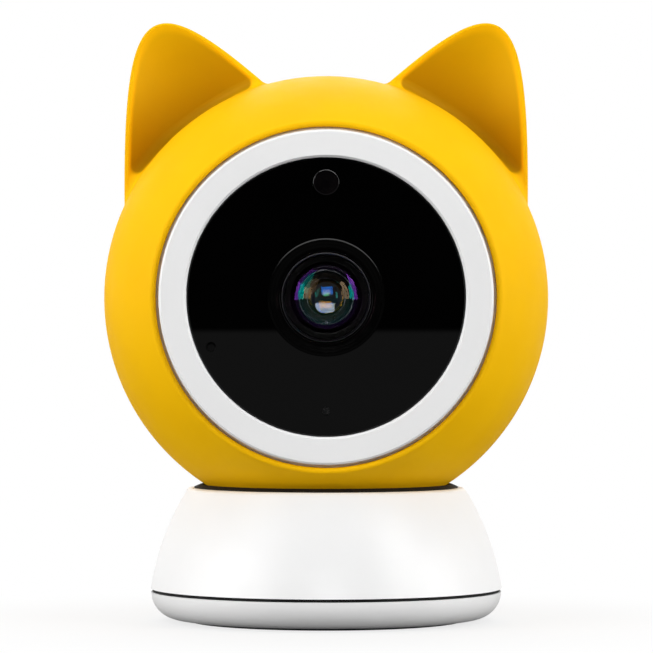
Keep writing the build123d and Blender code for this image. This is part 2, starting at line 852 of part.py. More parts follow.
def sensor_window():
    window = round_window(0, light_sensor_up, light_sensor_r - window_gap, panel_back, panel_front - 0.1)
    return fillet(window.edges().sort_by(Axis.Z)[-1], 0.3)


def led_pipe():
    return round_window(0, led_up, led_hole_r - window_gap, ir_board_front + 0.9, panel_front - 0.1)


def microphone():
    back = ir_board_front - ir_board_thick
    can = block((mic_x - 1.6, mic_x + 1.6), (mic_up - 1.2, mic_up + 1.2), (back - 1.1, back))
    return can - round_window(mic_x, mic_up, mic_port_r, back - 0.6, back)


def speaker():
    """A round speaker with its cone facing the rear grille."""
    rim, step = -speaker_seat, -speaker_seat + speaker_thick / 2
    magnet_r = speaker_r * 0.6
    outline = [
        (speaker_r, rim),
        (speaker_r, step),
        (magnet_r, step),
        (magnet_r, rim + speaker_thick),
        (0, rim + speaker_thick),
        (0, rim + 0.8),
        (speaker_r * 0.3, rim + 1.2),
        (speaker_r * 0.85, rim),
    ]
    return Pos(0, speaker_up, 0) * spun(Polyline(*outline, close=True))


def antenna():
    sheet = ball(shell_in_r - 0.05) - ball(shell_in_r - 0.35)
    across = (-antenna_half_wide, antenna_half_wide)
    return sheet & block(across, (antenna_low, ball_r), (-antenna_rear, -antenna_front))


def shell_screws():
    one = screw(screw_r, screw_head_r, screw_head_high, shell_screw_long)
    one = Pos(0, 0, -shell_screw_head_z) * Rot(180, 0, 0) * one
    return Compound(at_angles(one, shell_screw_pcd_r, shell_screw_angles))


# Tilt drive
def tilt_motor_place():
    return polar(tilt_gear_r + tilt_pinion_r, tilt_motor_angle)


def motor_ear_places():
    """The tilt motor's two ear holes, set square to the line from the tilt axis."""
    along = polar(motor_ear_reach, tilt_motor_angle + 90)
    middle = tilt_motor_place()
    return [(middle[0] + s * along[0], middle[1] + s * along[1]) for s in (-1, 1)]


def tilt_gear():
    """The gear fixed to the ball by its six-sided hub."""
    gear = Pos(0, 0, tilt_gear_x) * spur_gear(tilt_gear_teeth, gear_wide, tilt_motor_angle)
    gear += disc(arm_boss_r - 1, yoke_out_r + seat_gap, tilt_gear_x)
    gear = SIDE * gear + hex_along_x(hub_flats, tilt_gear_x + gear_wide, trunnion_seat_x - seat_gap)
    return gear - SIDE * disc(pin_r + run_gap, 0, ball_r)


def tilt_bush():
    """The plain bearing on the other side, with the same six-sided hub."""
    flange_x = trunnion_boss_x - seat_gap
    bush = SIDE * disc(arm_boss_r, yoke_out_r + seat_gap, flange_x)
    bush += hex_along_x(hub_flats, flange_x, trunnion_seat_x - seat_gap)
    return mirror(bush - SIDE * disc(pin_r + run_gap, 0, ball_r), Plane.YZ)


def tilt_pins():
    pin = SIDE * disc(pin_r, yoke_in_r - 0.4, trunnion_seat_x - 0.5)
    pin = chamfer(pin.edges().filter_by(GeomType.CIRCLE), 0.3)
    return Compound([pin, mirror(pin, Plane.YZ)])


def along_up(shape):
    """Turns a shape drawn about Z to stand about the head's upward axis, at world heights."""
    return Pos(0, -ball_centre_z, 0) * Rot(-90, 0, 0) * shape


def yoke_screw_places():
    return [(0, front) for front in (-yoke_screw_front, yoke_screw_front)]


def yoke():
    """The C-shaped arm, its neck through the ball's slot, the foot flange and the motor plate."""
    half = yoke_half_deep
    arc = tube(yoke_out_r, yoke_in_r, -half, half) & block((-ball_r, ball_r), (-ball_r, 0), (-half, half))
    right_boss = SIDE * disc(arm_boss_r, yoke_in_r, yoke_out_r)
    neck_low = hub_top - ball_centre_z - 0.5
    deep = neck_half_deep
    neck = block((-neck_half_wide, neck_half_wide), (neck_low, -yoke_in_r - 1), (-deep, deep))
    neck = fillet(neck.edges().filter_by(Axis.Y), 1.5)
    flange = along_up(disc(hub_r, hub_joint, hub_top))
    body = arc + right_boss + mirror(right_boss, Plane.YZ) + neck + flange + motor_plate()
    for x, front in yoke_screw_places():
        hole = disc(small_screw_r + 0.1, hub_joint, hub_top)
        hole += disc(small_head_r + 0.2, hub_top - yoke_head_sink, hub_top)
        body -= along_up(Pos(x, -front, 0) * hole)
    body -= along_up(disc(hub_bore_r, hub_joint, ball_centre_z - yoke_in_r + 1))
    return body - SIDE * disc(pin_r, -ball_r, ball_r)


def motor_plate():
    """The plate that carries the tilt motor behind the right arm."""
    x, y = tilt_motor_place()
    rounds = Circle(arm_boss_r).edges() + (Pos(x, y) * Circle(motor_r)).edges()
    for place in motor_ear_places():
        rounds += (Pos(*place) * Circle(motor_ear_r)).edges()
    outline = make_hull(rounds) - Pos(x, y) * Circle(motor_boss_r + 0.3)
    for place in motor_ear_places():
        outline -= Pos(*place) * Circle(small_screw_r)
    return SIDE * (Pos(0, 0, motor_plate_x) * extrude(outline, motor_plate_thick))


def tilt_motor():
    place = Pos(*tilt_motor_place(), motor_plate_x) * Rot(0, 0, tilt_motor_angle + 90)
    return SIDE * (place * stepper_motor())


def tilt_motor_screws():
    one = Pos(0, 0, motor_plate_x - motor_flange) * Rot(180, 0, 0)
    one = one * screw(small_screw_r, small_head_r, small_head_high, motor_flange + motor_plate_thick - 0.3)
    return Compound([SIDE * (Pos(*place) * one) for place in motor_ear_places()])


def tilt_pinion():
    gap = tilt_gear_x - motor_plate_x
    facing = tilt_motor_angle - 180 + 180 / tilt_pinion_teeth
    pinion = motor_pinion(tilt_pinion_teeth, gap, gear_wide, facing)
    return SIDE * (Pos(*tilt_motor_place(), motor_plate_x) * pinion)


def neck_plug():
    low = -yoke_in_r + 0.2
    plug = block((-3, 3), (low, low + 3.5), (-2.5, 2.5))
    return plug - block((-2.2, 2.2), (low + 1.5, low + 3.5), (-1.5, 1.5))


def neck_lead():
    return along_up(disc(lead_r, lead_meet_z, ball_centre_z - yoke_in_r + 0.2))


# Turntable, in the world frame from here on
def gear_key(side, gap, low, high):
    """One of the two keys that turn the pan gear with the hub, or its slot."""
    middle = side * (hub_r + hub_step_r) / 2
    half_long = key_half_long + gap
    half_wide = key_half_wide + gap
    return block((middle - half_long, middle + half_long), (-half_wide, half_wide), (low, high))


def turntable_hub():
    hub = disc(hub_r, hub_low, hub_joint) + disc(hub_step_r, pan_gear_low - 1.5, pan_gear_low)
    for side in (-1, 1):
        hub += gear_key(side, 0, pan_gear_low - 0.5, pan_gear_low + pan_gear_thick - 0.3)
    for x, front in yoke_screw_places():
        hub -= Pos(x, front, 0) * disc(small_screw_r, hub_joint - 4, hub_joint)
    return hub - disc(hub_bore_r, hub_low, hub_joint)


def pan_gear():
    gear = Pos(0, 0, pan_gear_low) * spur_gear(pan_gear_teeth, pan_gear_thick, -90)
    gear -= disc(hub_r + pin_fit, pan_gear_low, pan_gear_low + pan_gear_thick)
    for side in (-1, 1):
        gear -= gear_key(side, window_gap, 0, base_top)
    windows = SlotArc(CenterArc((0, 0), pan_web_r, 20, 50), 2.2)
    for quarter in range(4):
        gear -= Rot(0, 0, 90 * quarter) * Pos(0, 0, pan_gear_low) * extrude(windows, pan_gear_thick)
    return gear


def yoke_screws():
    one = screw(small_screw_r, small_head_r, small_head_high, yoke_screw_long)
    return Compound([Pos(x, front, hub_top - yoke_head_sink) * one for x, front in yoke_screw_places()])


def pan_pinion():
    gap = pan_gear_low - motor_face_z
    pinion = motor_pinion(pan_pinion_teeth, gap, pan_gear_thick, 90 + 180 / pan_pinion_teeth)
    return Pos(0, pan_motor_y, motor_face_z) * pinion


# Base
def bulged(start, end, radius):
    """An arc between two points that bulges away from the pan axis."""
    chord = hypot(end[0] - start[0], end[1] - start[1])
    sag = radius - sqrt(radius**2 - chord**2 / 4)
    normal = ((end[1] - start[1]) / chord, (start[0] - end[0]) / chord)
    middle = ((start[0] + end[0]) / 2 + sag * normal[0], (start[1] + end[1]) / 2 + sag * normal[1])
    return ThreePointArc(start, middle, end)


def cone_body(inset):
    """The base's outside, moved inward by inset."""
    start = (base_r - inset, seam_high)
    end = (base_rim_r - inset, base_top)
    return spun(bulged(start, end, base_side_curve), Polyline(end, (0, base_top), (0, seam_high), start))


def ball_at_rest(radius):
    return Pos(0, 0, ball_centre_z) * ball(radius)


def along_button(shape):
    """Turns a shape drawn about Z to lie along the reset button's axis."""
    return Rot(0, 0, -button_angle) * Pos(0, 0, usb_z) * Rot(-90, 0, 0) * shape


def base_cover():
    outside = cone_body(0)
    top = outside.edges().filter_by(GeomType.CIRCLE).sort_by(Axis.Z)[-1]
    outside = fillet(top, base_rim_round)
    cover = outside - (cone_body(base_wall) - ball_at_rest(dish_r + base_wall))
    boss = disc(base_boss_r, spigot_top + window_gap, base_top - base_rim_round)
    for place in at_angles(boss, base_screw_pcd_r, base_screw_angles):
        cover += place & outside
    bush_r = hub_r + run_gap + bush_wall
    cover += disc(bush_r + base_wall, bush_low, ball_centre_z - sqrt(dish_r**2 - hub_r**2))
    half_wide = well_wide / 2 + well_wall
    half_high = well_high / 2 + well_wall
    well_back = usb_mouth_y - well_floor_depth - well_wall
    well = block((-half_wide, half_wide), (well_back, base_r), (usb_z - half_high, usb_z + half_high))
    cover += well & outside
    cover -= ball_at_rest(dish_r)
    cover -= disc(bush_r, bush_low, base_top)
    for hole in at_angles(disc(screw_r, spigot_top, spigot_top + 9), base_screw_pcd_r, base_screw_angles):
        cover -= hole
    mouth = Plane(origin=(0, usb_mouth_y - well_floor_depth, usb_z), x_dir=(1, 0, 0), z_dir=(0, 1, 0))
    cover -= mouth * extrude(RectangleRounded(well_wide, well_high, well_corner_r), base_r)
    cover -= mouth * extrude(SlotOverall(usb_wide + 0.3, usb_high + 0.3), 3, both=True)
    cover -= along_button(disc(button_r + button_gap, usb_mouth_y - 3, base_r))
    return cover - along_button(disc(button_flange_r + 0.4, button_seat, base_r + 2))


def bottom_cover():
    outer_r = base_r - 0.1
    corner_r = seam_low - foot_low
    spigot_r = base_r - base_wall - spigot_gap
    lower_left = outer_r - corner_r
    arc_middle = (lower_left + corner_r * cos(pi / 4), seam_low - corner_r * sin(pi / 4))
    shell = spun(
        ThreePointArc((lower_left, foot_low), arc_middle, (outer_r, seam_low)),
        Polyline(
            (outer_r, seam_low),
            (spigot_r, seam_low),
            (spigot_r, spigot_top),
            (spigot_r - spigot_wall, spigot_top),
            (spigot_r - spigot_wall, floor_top),
            (0, floor_top),
            (0, foot_low),
            (lower_left, foot_low),
        ),
    )
    shell += disc(centre_post_r, foot_low, centre_post_top)
    for post in at_angles(disc(base_boss_r, foot_low, spigot_top), base_screw_pcd_r, base_screw_angles):
        shell += post
    for x in (-motor_ear_reach, motor_ear_reach):
        post = disc(motor_ear_r, foot_low, motor_face_z - motor_flange)
        shell += Pos(x, pan_motor_y, 0) * (post - disc(small_screw_r, floor_top + 2, motor_face_z))
    for x in (-power_screw_x, power_screw_x):
        post = disc(power_post_r, foot_low, power_board_z)
        post -= disc(small_screw_r, floor_top + 1, power_board_z)
        shell += Pos(x, power_screw_y, 0) * post
    shell -= disc(insert_r, foot_low, insert_top)
    lead_low = lead_z - lead_r - 0.2
    shell -= block((-lead_r - 0.4, lead_r + 0.4), (0, centre_post_r), (lead_low, centre_post_top))
    shell -= disc(hub_bore_r, lead_low, centre_post_top)
    shell -= tube(pad_r + pad_wide / 2 + seat_gap, pad_r - pad_wide / 2 - seat_gap, foot_low, pad_thick)
    counterbore = disc(screw_head_r + 0.2, foot_low, base_screw_head_z)
    counterbore += disc(screw_r + 0.15, foot_low, spigot_top)
    for cut in at_angles(counterbore, base_screw_pcd_r, base_screw_angles):
        shell -= cut
    half_wide = well_wide / 2 + well_wall + 0.3
    return shell - block((-half_wide, half_wide), (centre_post_r, base_r), (seam_low, base_top))


def seam_ring():
    return tube(base_r - seam_ring_inset, base_r - base_wall - 0.1, seam_low + 0.05, seam_high - 0.05)


def foot_pad():
    pad = tube(pad_r + pad_wide / 2, pad_r - pad_wide / 2, 0, pad_thick)
    return chamfer(pad.edges().group_by(Axis.Z)[0], 0.3)


def tripod_insert():
    insert = tube(insert_r, insert_bore_r, foot_low, insert_top)
    for groove in range(2):
        low = foot_low + 1.0 + 1.5 * groove
        insert -= tube(insert_r, insert_r - 0.4, low, low + 0.7)
    return insert


def ballast():
    """A steel horseshoe, open at the rear for the lead and notched at the front for the motor."""
    ring = tube(ballast_r, centre_post_r + 0.5, floor_top + 0.1, ballast_top)
    ring -= block((-3.4, 3.4), (0, ballast_r), (0, base_top))
    ring -= Pos(0, pan_motor_y, 0) * disc(motor_r + 0.7, 0, base_top)
    return ring - block((-4.2, 4.2), (pan_motor_y, pan_motor_y + motor_r + 2.2), (0, base_top))


def base_screws():
    one = screw(screw_r, screw_head_r, screw_head_high, base_screw_long)
    one = Pos(0, 0, base_screw_head_z) * Rot(180, 0, 0) * one
    return Compound(at_angles(one, base_screw_pcd_r, base_screw_angles))


def power_board():
    low, high = power_board_z, power_board_z + power_board_thick
    half_well = well_wide / 2 + well_wall + 0.3
    across = (-power_board_left, power_board_right)
    board = disc(power_board_r, low, high) & block(across, (power_board_start, base_r), (low, high))
    well_back = usb_mouth_y - well_floor_depth - well_wall
    board -= block((-half_well, half_well), (well_back - 0.2, base_r), (low, high))
    for clear in at_angles(disc(base_boss_r + 0.5, low, high), base_screw_pcd_r, base_screw_angles):
        board -= clear
    for x in (-power_screw_x, power_screw_x):
        board -= Pos(x, power_screw_y, 0) * disc(small_screw_r + 0.1, low, high)
    return board


def power_board_screws():
    one = screw(small_screw_r, small_head_r, small_head_high, power_screw_long)
    top = power_board_z + power_board_thick
    return Compound([Pos(x, power_screw_y, top) * one for x in (-power_screw_x, power_screw_x)])


def usb_slot(inset, start, end):
    """A stadium bar along Y at the power inlet, from one depth to another."""
    seat = Plane(origin=(0, start, usb_z), x_dir=(1, 0, 0), z_dir=(0, 1, 0))
    return seat * extrude(SlotOverall(usb_wide - 2 * inset, usb_high - 2 * inset), end - start)


def usb_socket():
    back = usb_mouth_y - usb_deep
    return usb_slot(0, back, usb_mouth_y) - usb_slot(usb_shell, back + 1.0, usb_mouth_y)


def usb_tongue():
    back = usb_mouth_y - usb_deep + 1.0
    return block((-3.35, 3.35), (back, usb_mouth_y - 0.8), (usb_z - 0.35, usb_z + 0.35))


def reset_switch():
    low, high = button_inner - 4.2, button_inner - 0.5
    floor = power_board_z + power_board_thick - usb_z
    body = along_button(block((-2.2, 2.2), (-usb_high / 2, -floor), (low, high)))
    return body - along_button(disc(button_stem_r + run_gap, button_inner - 2.1, high))


def reset_button():
    cap = disc(button_r, button_inner + 0.9, button_face)
    cap = fillet(cap.edges().filter_by(GeomType.CIRCLE).sort_by(Axis.Z)[-1], 0.3)
    flange = disc(button_flange_r, button_inner, button_inner + 0.9)
    return along_button(cap + flange + disc(button_stem_r, button_inner - 1.6, button_inner))


def pan_motor():
    return Pos(0, pan_motor_y, motor_face_z) * stepper_motor()


def pan_motor_screws():
    one = screw(small_screw_r, small_head_r, small_head_high, motor_screw_long)
    places = (-motor_ear_reach, motor_ear_reach)
    return Compound([Pos(x, pan_motor_y, motor_face_z) * one for x in places])


def pan_bush():
    inner = hub_r + run_gap
    bush = tube(inner + bush_wall, inner, bush_low, bush_top)
    return bush + tube(bush_flange_r, inner, bush_low - bush_flange_high, bush_low)


def thrust_washer():
    return tube(centre_post_r - 0.2, thrust_bore_r, centre_post_top, centre_post_top + thrust_thick)


def base_lead():
    """The flat run from the power board's plug, bent up into the middle of the hub."""
    corner_z = lead_z + lead_bend_r
    path = Line((0, lead_plug_y, lead_z), (0, lead_bend_r, lead_z))
    middle = lead_bend_r * (1 - cos(pi / 4))
    path += ThreePointArc((0, lead_bend_r, lead_z), (0, middle, lead_z + middle), (0, 0, corner_z))
    path += Line((0, 0, corner_z), (0, 0, lead_meet_z))
    start = Plane(origin=(0, lead_plug_y, lead_z), z_dir=(0, -1, 0))
    return sweep(start * Circle(lead_r), path=path)


def base_plug():
    return block((-3, 3), (lead_plug_y, lead_plug_y + 4.4), (lead_z - lead_r, power_board_z))


WORLD_PIECES = (
    base_cover,
    bottom_cover,
    seam_ring,
    foot_pad,
    tripod_insert,
    ballast,
    base_screws,
    power_board,
    power_board_screws,
    usb_socket,
    usb_tongue,
    reset_switch,
    reset_button,
    pan_motor,
    pan_motor_screws,
    pan_bush,
    thrust_washer,
    base_lead,
    base_plug,
    pan_pinion,
    turntable_hub,
    pan_gear,
    yoke_screws,
)

HEAD_PIECES = (
    yoke,
    tilt_motor,
    tilt_motor_screws,
    tilt_pins,
    tilt_pinion,
    neck_lead,
    neck_plug,
    front_shell,
    rear_shell,
    shell_screws,
    cat_ear_sleeve,
    face_panel,
    lens_bezel,
    lens_barrel,
    front_lens,
    inner_lens,
    lens_mount,
    mount_screws,
    filter_slider,
    night_filters,
    filter_coil,
    image_sensor,
    main_board,
    board_screws,
    processor,
    ir_board,
    ir_leds,
    light_sensor,
    sensor_window,
    microphone,
    status_led,
    led_pipe,
    speaker,
    tilt_gear,
    tilt_bush,
    antenna,
)


def export_all():
    os.makedirs("parts", exist_ok=True)
    for make in WORLD_PIECES:
        export_step(make(), f"parts/{make.__name__}.step")
    for make in HEAD_PIECES:
        export_step(HEAD * make(), f"parts/{make.__name__}.step")


export_all()
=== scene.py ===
from math import asin, degrees, pi, radians, sqrt

import bmesh
import bpy
from mathutils import Matrix, Vector


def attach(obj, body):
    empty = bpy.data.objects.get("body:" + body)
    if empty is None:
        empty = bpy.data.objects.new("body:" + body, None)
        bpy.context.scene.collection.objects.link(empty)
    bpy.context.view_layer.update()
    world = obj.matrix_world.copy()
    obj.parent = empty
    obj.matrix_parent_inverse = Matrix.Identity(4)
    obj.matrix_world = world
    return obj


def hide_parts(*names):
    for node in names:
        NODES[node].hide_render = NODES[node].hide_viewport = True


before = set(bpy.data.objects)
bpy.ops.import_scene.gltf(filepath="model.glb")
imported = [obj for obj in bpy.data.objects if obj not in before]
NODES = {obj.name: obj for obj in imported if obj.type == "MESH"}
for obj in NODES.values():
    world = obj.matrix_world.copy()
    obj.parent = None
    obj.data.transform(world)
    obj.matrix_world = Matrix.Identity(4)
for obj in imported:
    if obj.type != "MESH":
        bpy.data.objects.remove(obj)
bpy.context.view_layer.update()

MM = 0.001

# The camera that takes the picture, level with the middle of the object
CAMERA_DISTANCE = 750 * MM
CAMERA_HEIGHT = 55.9 * MM
SENSOR_WIDE = 36.0
LENS_LONG = 218.3
SHIFT_X = 0.0005
SHIFT_Y = -0.0022

# Floor, and the ring of it round the object that takes a shadow
FLOOR_RADIUS = 1.5
FLOOR_DROP = 0.02 * MM
FLOOR_SIDES = 96
PAPER_TONE = 0.8
SHADOW_NEAR = 34 * MM
SHADOW_FAR = 95 * MM
SHADOW_GLOW = 0.75

# Room: its light by direction, dark in front of the object and bright behind it
ROOM_DARK = 0.002
ROOM_DARK_Y = -0.75
ROOM_BRIGHT = 0.45
ROOM_BRIGHT_Y = 0.3

# The grey that the black face mirrors below the horizon, and how far behind the object all is white
ROOM_DIM = 0.14
HORIZON_START = -0.0006
HORIZON_END = -0.0024
FLOOR_WHITE_Y = 0.25
ROOM_WHITE_Y = 0.3

# Lamps: name, place, width and height in metres, and power in watts
LAMPS = (
    ("left_softbox", (-0.62, -0.48, 0.5), 0.7, 0.7, 2.1),
    ("right_softbox", (0.64, -0.46, 0.5), 0.3, 0.3, 1.8),
    ("left_low_softbox", (-1.0, -0.55, 0.25), 0.9, 0.6, 7.6),
    ("right_low_softbox", (1.0, -0.45, 0.2), 1.0, 0.5, 7.2),
    ("left_side_softbox", (-0.9, 0.0, 0.12), 0.5, 0.5, 1.6),
    ("right_side_softbox", (0.9, 0.0, 0.12), 0.5, 0.5, 1.0),
    ("top_softbox", (0.0, 0.1, 1.0), 0.8, 0.8, 2.3),
    ("back_softbox", (0.0, 0.9, 0.6), 0.8, 0.6, 4.0),
    ("front_fill", (0.02, -0.95, 0.27), 0.34, 0.22, 1.9),
)

# Ball, with its centre in metres and its sleeve's radius in millimetres
BALL_CENTRE = Vector((0, 0, 61 * MM))
SLEEVE_R = 42.0

# Painted shade inside the ears: its colour, and how much of it shows at the root and at the tip
EAR_PAINTED_SHADE_COLOUR = "6A4600"
EAR_ROOT_SHADE = 0.62
EAR_TIP_SHADE = 0.22

# Where that painted shade lies, in millimetres: its start off the ball, root and tip from the ball's
# centre, and the depths of the bright rim and of the cup; then the facing at which it is full
EAR_START = 0.5
EAR_ROOT_R = 43.0
EAR_TIP_R = 58.0
EAR_RIM_Y = -0.95
EAR_CUP_Y = -0.2
EAR_FACING_Y = -0.25

# Clouds and grain in the materials
CLOUD_DETAIL = 3.0
CLOUD_LOW = 0.3
CLOUD_HIGH = 0.7
GRAIN_DETAIL = 2.0
GRAIN_STRENGTH = 0.35

# Lathe rings on the lens tube: pitch and height in millimetres, and the wave texture's own rate
LATHE_PITCH = 1.885
LATHE_HEIGHT = 0.01
LATHE_STRENGTH = 0.3
WAVE_RATE = 20

# Lens coatings, with their thicknesses in nanometres
COAT_IOR = 1.3
MAGENTA_COAT = 338.0
TEAL_COAT = 398.0
CLEAR_COAT = 106.0

# Lens bezel, in millimetres: radii, and heights in front of the ball's centre
PANEL_FRONT = 27.7
LEDGE_FRONT = 25.65
BEZEL_R = 10.75
BEZEL_INNER_R = 8.3
BEZEL_FLANGE_R = 12.3
BEZEL_FUNNEL_R = 9.0
BEZEL_BACK = 24.35
BEZEL_SINK = 0.2
BEZEL_LIP_SINK = 0.3
BEZEL_FALL = 0.05
BEZEL_RINGS = 3
BEZEL_ROUND = 0.03
GROOVE = 0.12
EDGE_ROUND = 0.12

# Front lens
LENS_FRONT = 26.9
LENS_GLASS_R = 7.75
LENS_FRONT_CURVE = 12.0
LENS_BACK_CURVE = 8.5
LENS_HOLLOW_R = 6.15
LENS_EDGE_THICK = 1.0
COAT_BAND_R = 2.4
GLASS_EDGE = LENS_FRONT - LENS_FRONT_CURVE + sqrt(LENS_FRONT_CURVE**2 - LENS_GLASS_R**2)
GLASS_BACK = GLASS_EDGE - LENS_EDGE_THICK

# Inner lens
INNER_LENS_R = 3.5
INNER_LENS_FRONT = 21.6
INNER_LENS_CURVE = 6.0
INNER_LENS_THICK = 1.4
INNER_LENS_BACK = INNER_LENS_FRONT - INNER_LENS_THICK

# Lens tube, with its rim, the baffle rings behind the glass and the stop behind the inner lens
LENS_RIM_R = 8.2
LENS_HEAD_BACK = 22.0
LENS_REAR = 18.9
LENS_THREAD_R = 6.0
LENS_CLEAR = 0.05
RIM_SINK = 0.2
RIM_BREAK_WIDE = 0.1
RIM_BREAK_DEEP = 0.2
BAFFLE_R = 4.9
BAFFLE_RINGS = 3
BAFFLE_STEP = 0.18
BAFFLE_DIP = 0.1
BAFFLE_RIDGE_SHARE = 0.55
BAFFLE_DIP_SHARE = 0.4
FUNNEL_HIGH = 0.3
STOP_LEDGE = 0.6

# Cloth in the microphone hole
MIC_HOLE_R = 0.9
MIC_X = -21.0
MIC_UP = -9.1
MIC_DEEP = 1.6
MIC_CLEAR = 0.02
MIC_RIM_THICK = 0.2
MIC_DIP_THICK = 0.1
MIC_DIP_SHARE = 0.7
MIC_MIDDLE_THICK = 0.15

# Black ring on the base's rim that stands for the shade under the ball, in millimetres, with heights
# above the floor
BASE_TOP = 25.2
SHADE_RING_R = 25.0
SHADE_RING_SINK = 0.05
SHADE_RING_SIDE = 0.15
SHADE_RING_LIP_HIGH = 0.65
SHADE_RING_LIP_WIDE = 0.3
SHADE_RING_GAP = 0.3
SHADE_RING_SLANT = 0.75

# Foot pad
FOOT_OUTER_R = 25.9
FOOT_INNER_R = 19.6
FOOT_THICK = 1.2
FOOT_TREADS = 4
TREAD_WIDE = 0.4
TREAD_DEEP = 0.35

# Tripod insert and its thread
INSERT_R = 4.5
INSERT_LOW = 0.5
INSERT_HIGH = 4.6
INSERT_BREAK = 0.3
THREAD_CREST_R = 2.55
THREAD_ROOT_R = 3.175
THREAD_PITCH = 1.27
THREAD_TURNS = 2
THREAD_START = 0.2
THREAD_BURIED = 0.05
THREAD_FLAT = 0.08

# Fineness of the drawn pieces: steps of an arc, of a rounded corner and of a full turn
ARC_STEPS = 16
CORNER_STEPS = 3
RING_STEPS = 128
LENS_STEPS = 96
INSERT_STEPS = 64
THREAD_STEPS = 48
CLOTH_STEPS = 32

# Modelling reaches, in millimetres: points that merge, points that are picked, faces of a rounded edge
MERGE_REACH = 0.002
PICK_REACH = 0.01
EDGE_REACH = 1.2 * EDGE_ROUND
SMOOTH_ANGLE = radians(25)


def linear(code):
    """An sRGB hex colour as linear red, green, blue and alpha."""
    channels = []
    for start in (0, 2, 4):
        value = int(code[start:start + 2], 16) / 255
        channels.append(value / 12.92 if value <= 0.04045 else ((value + 0.055) / 1.055) ** 2.4)
    return (*channels, 1.0)


def grey(value):
    """A linear grey as a colour with alpha."""
    return (value, value, value, 1.0)


def add(tree, kind, values=(), links=(), **settings):
    """Adds one node: its settings, the values of its sockets, and the sockets that feed it."""
    made = tree.nodes.new(kind)
    for name, value in settings.items():
        setattr(made, name, value)
    for socket, value in dict(values).items():
        made.inputs[socket].default_value = value
    for socket, source in dict(links).items():
        tree.links.new(source, made.inputs[socket])
    return made


def per_mm(size):
    """The texture scale that gives a pattern of this size in millimetres."""
    return 1 / (size * MM)


def start_material(name, values):
    """A material with its shader's constant values set, its node tree and its object coordinates."""
    material = bpy.data.materials.new(name)
    material.use_nodes = True
    tree = material.node_tree
    shader = tree.nodes["Principled BSDF"]
    for socket, value in values.items():
        shader.inputs[socket].default_value = value
    place = add(tree, "ShaderNodeTexCoord").outputs["Object"]
    return material, tree, shader, place


def mottle(tree, shader, place, socket, low, high, size):
    """Slow cloudy variation of one socket between two colours or greys, with clouds of a size in mm."""
    cloud = add(
        tree,
        "ShaderNodeTexNoise",
        {"Scale": per_mm(size), "Detail": CLOUD_DETAIL},
        {"Vector": place},
    )
    stops = add(tree, "ShaderNodeValToRGB", links={"Fac": cloud.outputs["Fac"]})
    first, last = stops.color_ramp.elements
    first.position = CLOUD_LOW
    first.color = low
    last.position = CLOUD_HIGH
    last.color = high
    tree.links.new(stops.outputs["Color"], shader.inputs[socket])


def grain(tree, shader, place, size, height):
    """A fine even bump, such as a moulding tool leaves, with its size and height in mm."""
    speck = add(
        tree,
        "ShaderNodeTexNoise",
        {"Scale": per_mm(size), "Detail": GRAIN_DETAIL},
        {"Vector": place},
    )
    bump = add(
        tree,
        "ShaderNodeBump",
        {"Strength": GRAIN_STRENGTH, "Distance": height * MM},
        {"Height": speck.outputs["Fac"]},
    )
    tree.links.new(bump.outputs["Normal"], shader.inputs["Normal"])


def painted_ear_shade(tree, shader, place):
    """Paints shade inside the cupped ears, darkest at their roots by the ball. The rims stay bright."""
    out = add(tree, "ShaderNodeVectorMath", {1: BALL_CENTRE}, {0: place}, operation="DISTANCE")
    depth = add(tree, "ShaderNodeSeparateXYZ", links={"Vector": place})
    normal = add(tree, "ShaderNodeTexCoord").outputs["Normal"]
    facing = add(tree, "ShaderNodeSeparateXYZ", links={"Vector": normal})
    height = add(
        tree,
        "ShaderNodeMapRange",
        {
            "From Min": EAR_ROOT_R * MM,
            "From Max": EAR_TIP_R * MM,
            "To Min": EAR_ROOT_SHADE,
            "To Max": EAR_TIP_SHADE,
        },
        {"Value": out.outputs["Value"]},
    )
    # Off the ball, behind the rim, and facing forward
    limits = (
        (out.outputs["Value"], SLEEVE_R * MM, (SLEEVE_R + EAR_START) * MM),
        (depth.outputs["Y"], EAR_RIM_Y * MM, EAR_CUP_Y * MM),
        (facing.outputs["Y"], 0.0, EAR_FACING_Y),
    )
    share = height.outputs["Result"]
    for source, none, full in limits:
        limit = add(
            tree,
            "ShaderNodeMapRange",
            {"From Min": none, "From Max": full},
            {"Value": source},
            interpolation_type="SMOOTHSTEP",
        )
        product = add(
            tree,
            "ShaderNodeMath",
            links={0: share, 1: limit.outputs["Result"]},
            operation="MULTIPLY",
        )
        share = product.outputs["Value"]
    skin = shader.inputs["Base Color"].links[0].from_socket
    tone = add(
        tree,
        "ShaderNodeMix",
        {"B": linear(EAR_PAINTED_SHADE_COLOUR)},
        {"Factor": share, "A": skin},
        data_type="RGBA",
    )
    tree.links.new(tone.outputs["Result"], shader.inputs["Base Color"])


def silicone_yellow():
    """Moulded silicone rubber: an even, deep, matte skin with hardly any gloss, and painted shade in the
    ear cups.
    """
    values = {"IOR": 1.41, "Specular IOR Level": 0.08}
    material, tree, shader, place = start_material("moulded_silicone_yellow", values)
    mottle(tree, shader, place, "Base Color", linear("FBBF05"), linear("FFC407"), size=14)
    # Painted shade in the ear cups, darkest at their roots by the ball
    painted_ear_shade(tree, shader, place)
    mottle(tree, shader, place, "Roughness", grey(0.55), grey(0.65), size=4)
    # The real skin is finer than 0.1 mm, and is drawn at 0.4 mm so that it shows
    grain(tree, shader, place, size=0.4, height=0.012)
    return material


def abs_white():
    """Moulded ABS from a finely sparked tool: a satin white with a broad soft highlight."""
    material, tree, shader, place = start_material("moulded_abs_white", {"IOR": 1.53})
    mottle(tree, shader, place, "Base Color", linear("EDEDED"), linear("F1F1F1"), size=20)
    mottle(tree, shader, place, "Roughness", grey(0.34), grey(0.42), size=3)
    grain(tree, shader, place, size=0.35, height=0.006)
    return material


